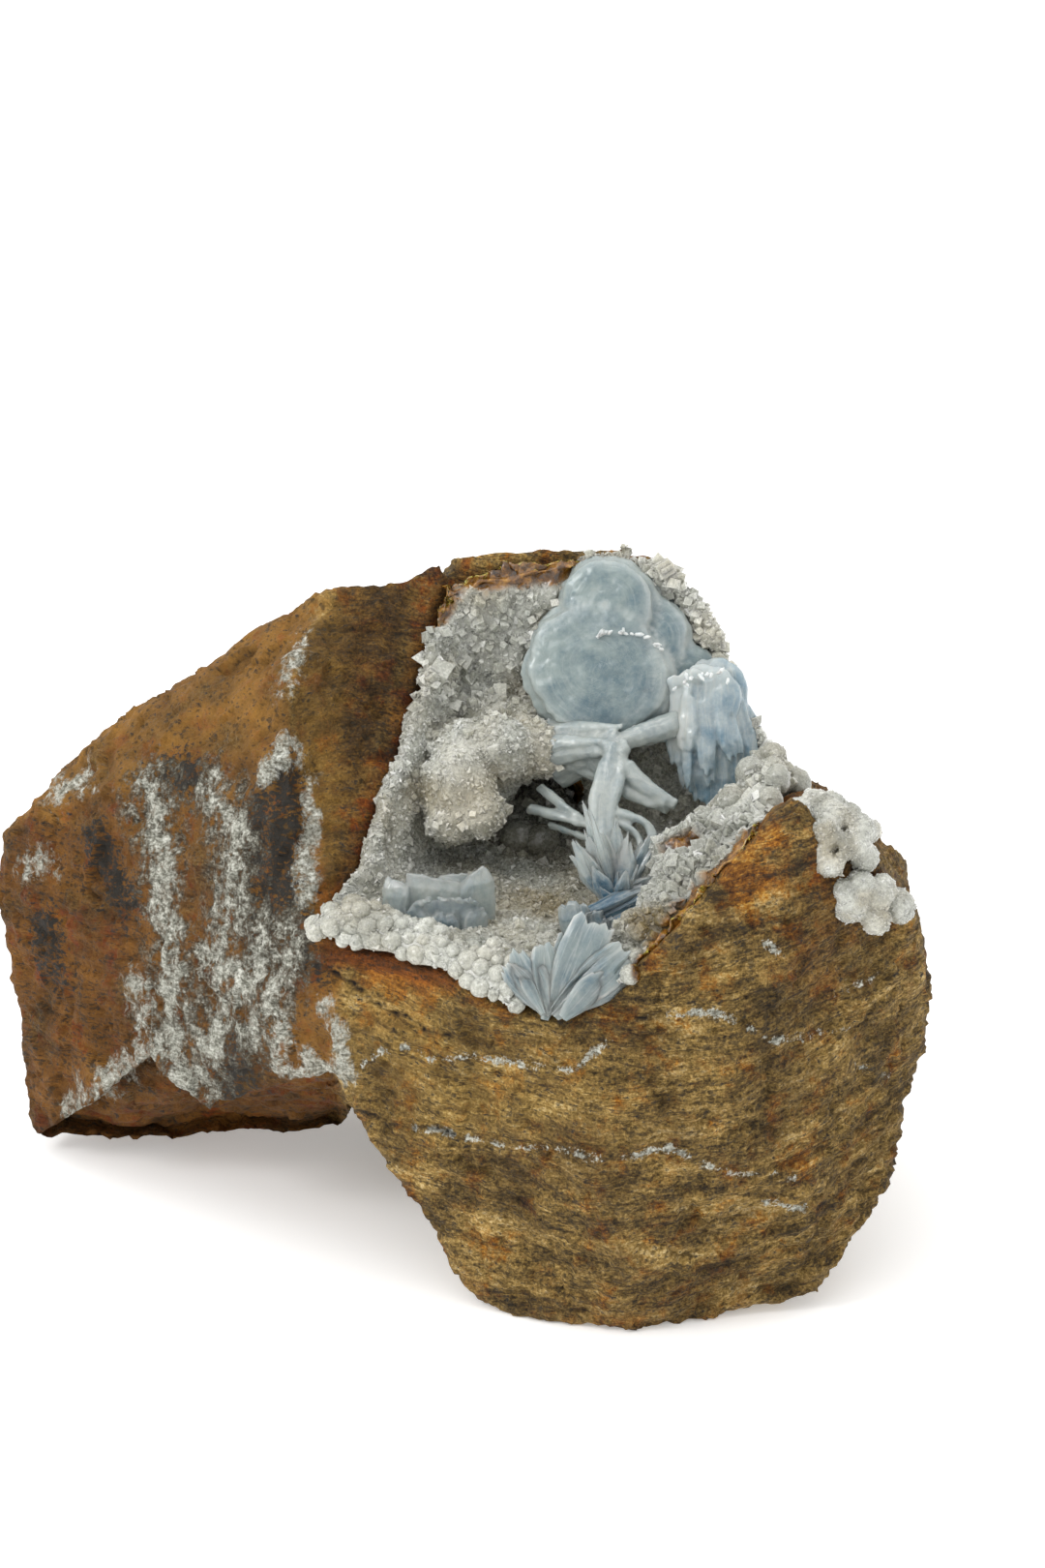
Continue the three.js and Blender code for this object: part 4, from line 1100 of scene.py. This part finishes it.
def blade(root, tip, facing, width, thick, waist=0.45, point=0.4, ragged=0.05, ridged=0.17):
    """One crystal: widest two thirds up, ridged along its length, with a chisel edge and ragged tip.
    A ridged of 0.1 or less gives flat faces and a tip that slants."""
    along = np.array(tip, float) - root
    length = np.linalg.norm(along)
    along /= length
    sideways = np.cross(facing, along)
    sideways /= np.linalg.norm(sideways)
    axes = (sideways, np.cross(along, sideways), along)
    u, v, h = np.array([c.co[:] for c in blade_block.data.vertices]).T
    column = np.rint((u + 0.5) * BLADE_COLUMNS).astype(int)
    ridge = 1 + chance.normal(0, ridged, BLADE_COLUMNS + 1)
    ridge[[0, -1]] = 0.3 if ridged > 0.1 else 0.85
    drop = np.abs(chance.normal(0, ragged, BLADE_COLUMNS + 1))
    across = np.linspace(-1, 1, BLADE_COLUMNS + 1)
    if ridged > 0.1:
        drop += 0.22 * (1 - point) * across**2
    else:
        drop += chance.uniform(0.03, 0.1) * (1 + across * chance.choice((-1, 1)))
    opening = waist + (1 - waist) * np.sin(np.clip(h / 0.65, 0, 1) * math.pi / 2)
    closing = 1 - (1 - point) * np.clip((h - 0.65) / 0.35, 0, 1) ** 1.6
    near_tip = smooth_step(h, 0.72, 1)
    bend, lean = chance.normal(0, 0.06, 2)
    local = np.stack(
        [
            (u * opening * closing + bend * h * h) * width,
            (v * ridge[column] * (1 - 0.65 * near_tip) + lean * h * h) * thick,
            (h - drop[column] * smooth_step(h, 0.45, 1)) * length,
        ],
        axis=1,
    )
    growth = np.stack([u * width, v * thick, h * length], axis=1)
    frosted = 0.6 * np.abs(2 * u) ** 8 + 0.6 * near_tip**3
    return set_in(blade_block, local, root, axes, growth, frosted)


def fan_out(blades, siblings, shrink=(0.5, 0.85), lean=0.16):
    """The main blades and, between them, smaller ones that lean away from them."""
    grown = []
    for root, tip, facing, width, thick, *ends in blades:
        grown.append(blade(root, tip, facing, width, thick, *ends))
        for _ in range(siblings):
            share = chance.uniform(*shrink)
            reach = (np.array(tip, float) - root) * share
            reach += chance.normal(0, lean, 3) * np.linalg.norm(reach)
            start = np.array(root) + chance.normal(0, 0.12 * width, 3)
            turned = np.array(facing) + chance.normal(0, 0.35, 3)
            narrow = chance.uniform(0.35, 0.75)
            grown.append(blade(start, start + reach, turned, width * narrow, thick * 0.6, *ends))
    return grown


blade_block = blade_pattern()
crest = plate((23.2, 41.4, 65.8), SHEAF_FACING, 4.8, 2.6, 2)
hanging = fan_out(SHEAF_BLADES, siblings=1, shrink=(0.6, 1), lean=0.06)
sheaf = melt_together("barite_sheaf", crest + hanging, voxel=0.2, rounds=3, seed=75)
there = corners(sheaf)
strands = np.stack([there[:, 0] + 0.3 * swell(there, 2, 76), 0.5 * there[:, 1], 0.4 * there[:, 2]], axis=1)
note(sheaf, "growth", strands)
left_white = near(there, (19.4, 38, 64), (1.6, 6, 6)) + 0.6 * near(there, (22, 40, 69.6), (5, 4, 1.4))
note(sheaf, "frosted", np.clip(0.1 + left_white + 0.3 * swell(there, 1.6, 77), 0, 1))
# painted shade: the sheaf is made a deeper blue low down and towards its right side
painted_shade_low = near(there, (25, 38, 54), (7, 6, 3))
note(sheaf, "deep", 0.3 + 0.35 * near(there, (25.5, 39, 61), (3, 5, 5)) + 0.3 * painted_shade_low - 0.5 * left_white)
# The same clouded barite, in thinner pieces that let more light through
barite_finish(sheaf, "bladed_barite", "cad6d8", "7497aa", clear=0.35, gloss=0.16, lined=0.8)
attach(sheaf, "root")
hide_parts("barite_main_cluster")

# The glittering edge: splinters of clear barite, half a millimetre thick, that stand along the top of the
# front round plate and on the crest of the sheaf, coloured near-white as painted glints.

PLATE_TOP = np.array((12, 40.6, 67.4))  # mm, the middle of the front plate's rim
PLATE_RIM = 6.9  # mm, the radius of that rim


def grow_together(name, crystals, edge=0.08, chipped=0.06, finer=1):
    """Joins crystals into one piece, bevels their edges and makes their faces a little uneven. edge and
    chipped say how much, in mm, and finer how many times each face is split first."""
    piece = join_as(name, crystals)
    sharp = math.radians(35)
    finish_with(piece, "BEVEL", width=edge * MM, segments=1, limit_method="ANGLE", angle_limit=sharp)
    if finer:
        finish_with(piece, "SUBSURF", subdivision_type="SIMPLE", levels=finer, render_levels=finer)
    places, outward = surface(piece)
    uneven = 0.7 * swell(places, 1.3, 41) + 0.4 * swell(places, 0.5, 42) + 0.5 * broken(places, 0.9, 43)
    move_corners(piece, places + outward * (chipped * uneven)[:, None])
    select_only(piece)
    bpy.ops.object.shade_smooth_by_angle(angle=math.radians(26))
    return piece


def splinter(root, reach, narrow, wide, thick=0.3):
    """A small blade turned at random, its width between two limits, in mm."""
    return blade(root, root + reach, chance.normal(0, 1, 3), chance.uniform(narrow, wide), thick, 0.6, 0.3)


splinters = []
for turn in chance.uniform(-0.55, 0.85, 24):
    sine, cosine = math.sin(turn), math.cos(turn)
    edge = PLATE_TOP + PLATE_RIM * np.array((sine, 0.35 * cosine, 0.9 * cosine))
    reach = np.array((0.8, -0.4, 0.5 - sine)) * chance.uniform(0.4, 1.1) + chance.normal(0, 0.25, 3)
    splinters.append(splinter(edge, reach, 0.25, 0.6))
for share in chance.uniform(0, 1, 12):
    edge = np.array((18.6 + 8 * share, 38.4 + share, 67.8 + 2 * math.sin(3 * share)))
    splinters.append(splinter(edge, chance.normal(0, 0.5, 3) + np.array((0, -0.3, -0.5)), 0.3, 0.6))
glitter = grow_together("barite_glittering_edge", splinters, edge=0.04, chipped=0.02, finer=0)
note(glitter, "deep", np.zeros(len(glitter.data.vertices)))
# painted glints: a near-white, nearly opaque colour on the splinters stands in for their sparkle
barite_finish(glitter, "white_splinters_painted_glints", "eef4f4", "c3d0d3", clear=0.1, gloss=0.08, lined=0.3)
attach(glitter, "root")
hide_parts("barite_main_cluster")

# The arch, from the knob to the sheaf, with the strand and fingers that hang from it: barite grown
# over fibres, so its strands have run together into smooth greyish rods with a milky skin.

ARCH_RODS = [  # the points along a rod, its widths at the two ends, and the number of strands
    ([(1.5, 42, 58.4), (6.6, 38.8, 59.8), (11.6, 34.8, 61.9)], (8, 2.6), 12),
    ([(3, 41, 57), (7.4, 38.6, 58.4), (11.6, 35.4, 61)], (5.4, 2.2), 7),
    ([(3.5, 39.4, 59.6), (7.5, 37.6, 58), (10, 36.4, 56.4)], (3, 1.6), 5),
    ([(6.5, 38.4, 60.4), (9.2, 37, 58.4), (10.8, 35.5, 56.6)], (2.8, 1.6), 4),
    ([(11, 34.8, 61.8), (16.1, 37, 62.8), (20.5, 40, 63.4)], (3, 3.6), 7),
    ([(14, 37, 62.2), (17, 39.6, 61.4), (20, 41.4, 60)], (2.4, 2.6), 4),
    ([(12, 34.5, 62), (11, 31.6, 59), (9.8, 28.4, 55.4), (9.8, 24.8, 52.2), (10.4, 21.5, 49.5)],
     (2.9, 2.5), 6),
    ([(12.4, 34.8, 61.6), (11.6, 32.4, 58.4), (10.6, 29.4, 55.6)], (1.8, 1.6), 2),
    ([(12, 33.4, 59.2), (15.2, 32.2, 57.4), (18.2, 31, 56)], (3.4, 3.6), 4),
    ([(11.4, 33, 57.8), (14, 32.2, 56.6), (16.6, 31, 55.4)], (2.2, 2), 2),
    ([(10.4, 28.6, 56), (14.6, 28, 55.2), (16.6, 27, 53), (16, 23.5, 50)], (1.5, 1.2), 3),
    ([(10.6, 28, 54.6), (13.4, 27.6, 54), (14.6, 26, 51.6), (14, 23, 49.6)], (1.2, 1), 2),
    ([(1, 37, 52.4), (5, 33.6, 53), (8.1, 31, 52.6), (10.6, 28.5, 54)], (1.5, 1.6), 3),
    ([(2, 38, 55), (6, 33, 53.4), (9.6, 29.4, 52.4)], (1.2, 1.2), 2),
    ([(3, 36, 50.6), (6.6, 32, 51), (9.4, 28, 51.6)], (1.1, 1.1), 2),
]


def rod(points, widths, strands):
    """A bent rod of crystal: thin strands side by side along a line of points."""
    grown = []
    for _ in range(strands):
        shift = chance.normal(0, 0.12 * widths[0], 3)
        curve = bpy.data.curves.new("strand", "CURVE")
        curve.dimensions = "3D"
        curve.bevel_depth = 1 * MM
        curve.bevel_resolution = 2
        curve.use_fill_caps = True
        spline = curve.splines.new("NURBS")
        spline.points.add(len(points) - 1)
        spline.use_endpoint_u = True
        spline.order_u = 3
        spline.resolution_u = 6
        for i, place in enumerate(points):
            share = i / (len(points) - 1)
            wide = widths[0] * (1 - share) + widths[1] * share
            middle = np.array(place) + shift + chance.normal(0, 0.13 * wide, 3) + HOLLOW
            spline.points[i].co = (*(middle * MM), 1)
            spline.points[i].radius = 0.5 * wide * chance.uniform(0.85, 1.2) / strands**0.3
        spline.points[-1].radius *= 0.6
        select_only(add_piece("strand", curve))
        bpy.ops.object.convert(target="MESH")
        strand = bpy.context.object
        local = corners(strand) - HOLLOW - points[0]
        reach = np.array(points[-1], float) - points[0]
        reach /= np.linalg.norm(reach)
        length = local @ reach
        off_line = local - length[:, None] * reach
        note(strand, "growth", np.stack([off_line[:, 0], off_line[:, 2], length], axis=1))
        note(strand, "tone", np.full(len(length), chance.uniform(0, 1)))
        note(strand, "frosted", np.full(len(length), chance.uniform(0, 0.5)))
        grown.append(strand)
    return grown


chance = np.random.default_rng(52)
arch_strands = [strand for sizes in ARCH_RODS for strand in rod(*sizes)]
arch = melt_together("barite_arch", arch_strands, voxel=0.2, rounds=6, seed=71)
there = corners(arch)
note(arch, "deep", 0.1 + 0.4 * near(there, (11, 22, 50), (4, 5, 4)) + 0.15 * swell(there, 3, 45))
# Barite in fine fibres: milky, greyer than the plates, with a soft gloss
barite_finish(arch, "fibrous_barite", "b3bbb7", "7d9098", clear=0.3, gloss=0.2, lined=0.8)
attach(arch, "root")
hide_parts("barite_main_cluster")

# The fan, in the middle of the hollow under the strand: thin glassy blades of barite that spread from
# one root, deep blue where they grow together, and two striated side branches on the floor.

FAN_FACING = (-0.1, -0.9, 0.35)
FAN_BLADES = [  # as for the sheaf
    ((11.4, 19.6, 46), (7.2, 23.6, 59), (-0.5, -0.8, 0.3), 1.7, 0.8, 0.5, 0.3, 0.03),
    ((11, 19.6, 46.5), (6, 21.8, 55), (-0.2, -0.9, 0.3), 2.8, 0.8),
    ((11.2, 19.6, 46.4), (7.8, 22, 56), FAN_FACING, 2.2, 0.8),
    ((11.6, 19.4, 46.5), (9.8, 22.4, 56), (0.1, -0.9, 0.35), 2.6, 0.9),
    ((11.6, 19.8, 46.4), (11.4, 23, 57.4), FAN_FACING, 2.2, 0.9),
    ((11.8, 19.4, 46.5), (12.9, 22, 55.4), FAN_FACING, 3, 1),
    ((12, 19.6, 46.4), (14.4, 22.8, 54.4), (0.3, -0.85, 0.35), 2.2, 0.8),
    ((12, 19.8, 46.5), (15.4, 22.6, 55.2), (0.6, -0.75, 0.3), 2, 0.8),
    ((11.8, 20.4, 46.5), (5.4, 24, 51.6), (-0.3, -0.8, 0.5), 2.4, 0.9),
    ((11.5, 19, 46), (8.4, 19.4, 52.4), (-0.3, -0.85, 0.4), 2.4, 0.8),
    ((12, 19, 46), (12.4, 18.6, 52), (0, -0.9, 0.4), 2.4, 0.9),
]
FAN_BRANCHES = [
    ((7.8, 17.6, 45.6), (16.4, 19.4, 49.6), (0.1, -0.85, 0.5), 4, 2, 0.7, 0.8),
    ((9.4, 17.8, 46.2), (15.8, 19, 48), (0.1, -0.8, 0.6), 2.6, 1.8, 0.8, 0.8),
    ((7.2, 17.4, 42.5), (6.2, 16.6, 48.6), (-0.2, -0.95, 0.2), 4.2, 2.2, 0.9, 0.85),
    ((8.6, 17, 42.6), (8.2, 16.2, 47.6), (0.3, -0.9, 0.2), 3.2, 1.8, 0.9, 0.85),
    ((10, 17, 42.6), (9.8, 16.2, 46.8), (0.3, -0.9, 0.2), 3, 1.8, 0.9, 0.85),
    ((11.8, 19.8, 42.5), (11.8, 19.8, 49), (0, -1, 0.2), 4.2, 2.2, 0.8, 0.7),
]
chance = np.random.default_rng(53)
fan_blades = fan_out(FAN_BLADES, siblings=2, lean=0.12)
fan_blades += fan_out(FAN_BRANCHES, siblings=2, shrink=(0.7, 1), lean=0.08)
fan = grow_together("barite_fan", fan_blades, edge=0.05)
there = corners(fan)
root_blue = near(there, (12.2, 19, 47.4), (4.6, 4.4, 3.8))
note(fan, "deep", 0.95 * root_blue + 0.2 * near(there, (8, 16, 45), (3, 3, 3)))
# Glassy barite, in blades thin enough to let much light through, with bright edges
barite_finish(fan, "glassy_barite", "d3dddb", "527d97", clear=0.5, gloss=0.06)
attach(fan, "root")
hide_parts("barite_main_cluster")

# The tablets behind the left of the rim: a block of thick tabular barite crystals with flat faces,
# grown together and nearly clear, so the grey crust shows through. Their front crest is chipped.

TABLETS = [  # as for the sheaf, and how ridged each is
    ((-15.5, 19.6, 44.6), (-15.1, 20.6, 50.3), (-0.5, -0.85, 0.1), 3.6, 1.6, 1, 0.85, 0.02, 0.05),
    ((-10.9, 20.2, 44.6), (-10.5, 21, 50.5), (0.05, -0.95, 0.25), 6.6, 1.8, 1, 0.97, 0.01, 0.03),
    ((-8.8, 21.4, 44.6), (-8.4, 22, 50.4), (0.2, -0.95, 0.2), 4, 1.6, 1, 0.9, 0.02, 0.03),
    ((-5.6, 20.2, 44.6), (-5.6, 20.8, 51.6), (0.3, -0.93, 0.2), 4.4, 1.9, 1, 0.4, 0.01, 0.03),
    ((-9.4, 17.4, 44.2), (-9.6, 18, 48.8), (0, -0.9, 0.45), 8.8, 1.5, 1, 0.72, 0.08, 0.06),
    ((-12.9, 17.2, 44.4), (-12.4, 17.5, 47.9), (-0.4, -0.85, 0.4), 3.2, 1.2, 1, 0.6, 0.06, 0.06),
    ((-9.6, 16.6, 44.2), (-9.2, 16.6, 47.4), (0.1, -0.9, 0.5), 3.6, 1.2, 1, 0.6, 0.08, 0.06),
    ((-5.9, 16.9, 44.2), (-5.4, 17.2, 48), (0.45, -0.85, 0.4), 3.2, 1.3, 1, 0.6, 0.06, 0.06),
]
chance = np.random.default_rng(54)
chipped_crest = []
for share in chance.uniform(0, 1, 22):
    edge = np.array((-13.4 + 8.4 * share, 17, 48.2 + 0.7 * math.sin(math.pi * share)))
    reach = np.array((0, -0.5, 0.3)) + chance.normal(0, 0.4, 3)
    chipped_crest.append(splinter(edge, reach, 0.5, 1.2, 0.4))
tablet_blades = fan_out(TABLETS, siblings=0) + chipped_crest
tablets = melt_together("barite_tablets", tablet_blades, voxel=0.15, rounds=1, seed=79)
there = corners(tablets)
note(tablets, "deep", 0.1 + 0.55 * near(there, (-9, 16.5, 46.5), (6, 3, 2.4)) + 0.2 * swell(there, 3, 78))
# Nearly clear barite: glass with a breath of grey-blue
barite_finish(tablets, "clear_barite", "e4ebe7", "86a1ae", clear=0.68, gloss=0.05)
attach(tablets, "root")
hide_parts("barite_left_tablets")

# The leaves at the lowest place of the rim: flat milky crystals of barite that spread like a hand from
# one white root, their far edges notched like a saw.

LEAVES = [  # as for the sheaf
    ((2.8, 1.2, 41.3), (-2, 3, 47.2), (-0.35, -0.9, 0.2), 3.8, 1, 0.35, 0.6, 0.08),
    ((2.9, 0.8, 41.3), (-0.6, 3.4, 49), (-0.1, -0.95, 0.2), 4.4, 1.1, 0.35, 0.6, 0.09),
    ((3.1, 0.9, 41.3), (2.4, 3.8, 49.6), (0.25, -0.95, 0.25), 4, 1.1, 0.35, 0.7, 0.09),
    ((3.2, 1.2, 41.2), (5.4, 4.4, 48), (-0.3, -0.9, 0.2), 3.6, 1, 0.35, 0.6, 0.08),
    ((3.4, 0.9, 41.2), (8.8, 4.6, 52), (0.15, -0.95, 0.3), 5.4, 1.2, 0.3, 0.95, 0.06),
    ((3.6, 0.9, 41.1), (13, 3.6, 49), (0.1, -0.9, 0.45), 5.2, 1.4, 0.35, 0.7, 0.06),
    ((3.6, 1.4, 41.1), (13, 3.8, 46.2), (0.1, -0.85, 0.5), 4.4, 1.3, 0.35, 0.6, 0.06),
]
chance = np.random.default_rng(57)
spread = fan_out(LEAVES, siblings=1, shrink=(0.5, 0.8), lean=0.08)
leaves = grow_together("barite_leaves", spread, edge=0.05, chipped=0.05)
there = corners(leaves)
note(leaves, "deep", 0.2 + 0.35 * swell(there, 2.6, 46) - 0.6 * near(there, (3, 0.8, 41.4), (2, 3, 2)))
# Milky barite with fine lines up the leaf: pale grey-blue, waxy, white where it is thin
barite_finish(leaves, "milky_barite", "9ca8a6", "587683", clear=0.35, gloss=0.14)
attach(leaves, "root")
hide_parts("barite_front_leaves")
bpy.data.objects.remove(blade_block)
bpy.data.objects.remove(disc_block)

# The nodules on the peak: rounded balls of the same carbonate, 3 mm across, grown onto the bare rock and
# sugared with tiny crystals. They are whiter than the crust.

NODULE_VOXEL = 0.3  # mm
BALL_SPACING, BALL_RADII, SUGAR_SIZE = 2.5, (1.3, 2), 0.36  # mm
for cad_node, seed in (("nodules_peak_upper", 61), ("nodules_peak_lower", 62)):
    nodules = take(cad_node, cad_node + "_skin")
    reskin(nodules, NODULE_VOXEL, 8)
    places, outward = surface(nodules)
    facing_out = outward @ np.array((0.4, -0.6, 0.6)) > 0
    balls = balls_on(places[facing_out], outward[facing_out], BALL_SPACING, BALL_RADII, 0.45, seed)
    move_corners(nodules, places - 1.4 * outward)
    nodules = join_as(cad_node + "_skin", [nodules] + balls)
    reskin(nodules, NODULE_VOXEL, 2)
    places, outward = surface(nodules)
    grains = 0.2 * beads(places, 0.9, seed + 3) + 0.2 * swell(places, 1.6, seed)
    move_corners(nodules, places + outward * grains[:, None])
    bpy.ops.object.shade_smooth()
    places, outward = surface(nodules)
    chance = np.random.default_rng(seed)
    kept = np.where(chance.uniform(0, 1, len(places)) < 0.35)[0]
    sizes = SUGAR_SIZE * chance.lognormal(0, 0.3, len(kept))
    points = encrust(
        cad_node + "_points", "corner", places[kept], outward[kept], sizes, lean=0.4, seed=seed
    )
    for piece in (nodules, points):
        there = corners(piece)
        note(piece, "white", np.clip(0.55 + 0.2 * swell(there, 1.8, seed), 0, 1.2))
        note(piece, "stain", np.clip(0.1 + 0.5 * swell(there, 2.5, seed + 5), 0, 1))
        piece.data.materials.append(carbonate)
        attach(piece, "root")
        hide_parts(cad_node)

# The studio: a white paper sweep, lit a little from below so that shadows stay pale, under soft and even
# light, with the camera at the photo's viewing angle.

bpy.ops.object.select_all(action="DESELECT")
bpy.ops.mesh.primitive_plane_add(size=6, location=(0, 1, 0))
floor = bpy.context.object
floor.name = "floor"
paper = new_material("glowing_white_paper")
# the paper glows a little itself: painted light that keeps the shadows pale
paper_shader = node(
    paper,
    "BsdfPrincipled",
    inputs={
        "Base Color": (0.93, 0.93, 0.93, 1),
        "Roughness": 0.9,
        "Emission Color": (1, 0.99, 0.96, 1),
        "Emission Strength": 0.25,
    },
)
node(paper, "OutputMaterial", inputs={"Surface": paper_shader})
floor.data.materials.append(paper)

world = bpy.data.worlds.new("studio")
world.use_nodes = True
world.node_tree.nodes["Background"].inputs["Color"].default_value = (1, 1, 1, 1)
world.node_tree.nodes["Background"].inputs["Strength"].default_value = 1.05
bpy.context.scene.world = world

for name, place, size, power in (
    ("softbox_above", (-0.1, 0, 0.9), 1.2, 3.5),
    ("softbox_left", (-0.7, -0.4, 0.7), 0.3, 3),
):
    bpy.ops.object.light_add(type="AREA", location=place)
    lamp = bpy.context.object
    lamp.name = name
    lamp.data.size = size
    lamp.data.energy = power
    lamp.rotation_euler = (Vector((0, 0, 0.03)) - Vector(place)).to_track_quat("-Z", "Y").to_euler()

bpy.ops.object.camera_add(location=(0.009689, -0.4989, 0.2582), rotation=(math.radians(68), 0, 0))
camera = bpy.context.object
camera.name = "camera"
camera.data.lens = 100
camera.data.sensor_width = 36
camera.data.clip_start = 0.01
bpy.context.scene.camera = camera
bpy.context.scene.view_settings.view_transform = "Standard"
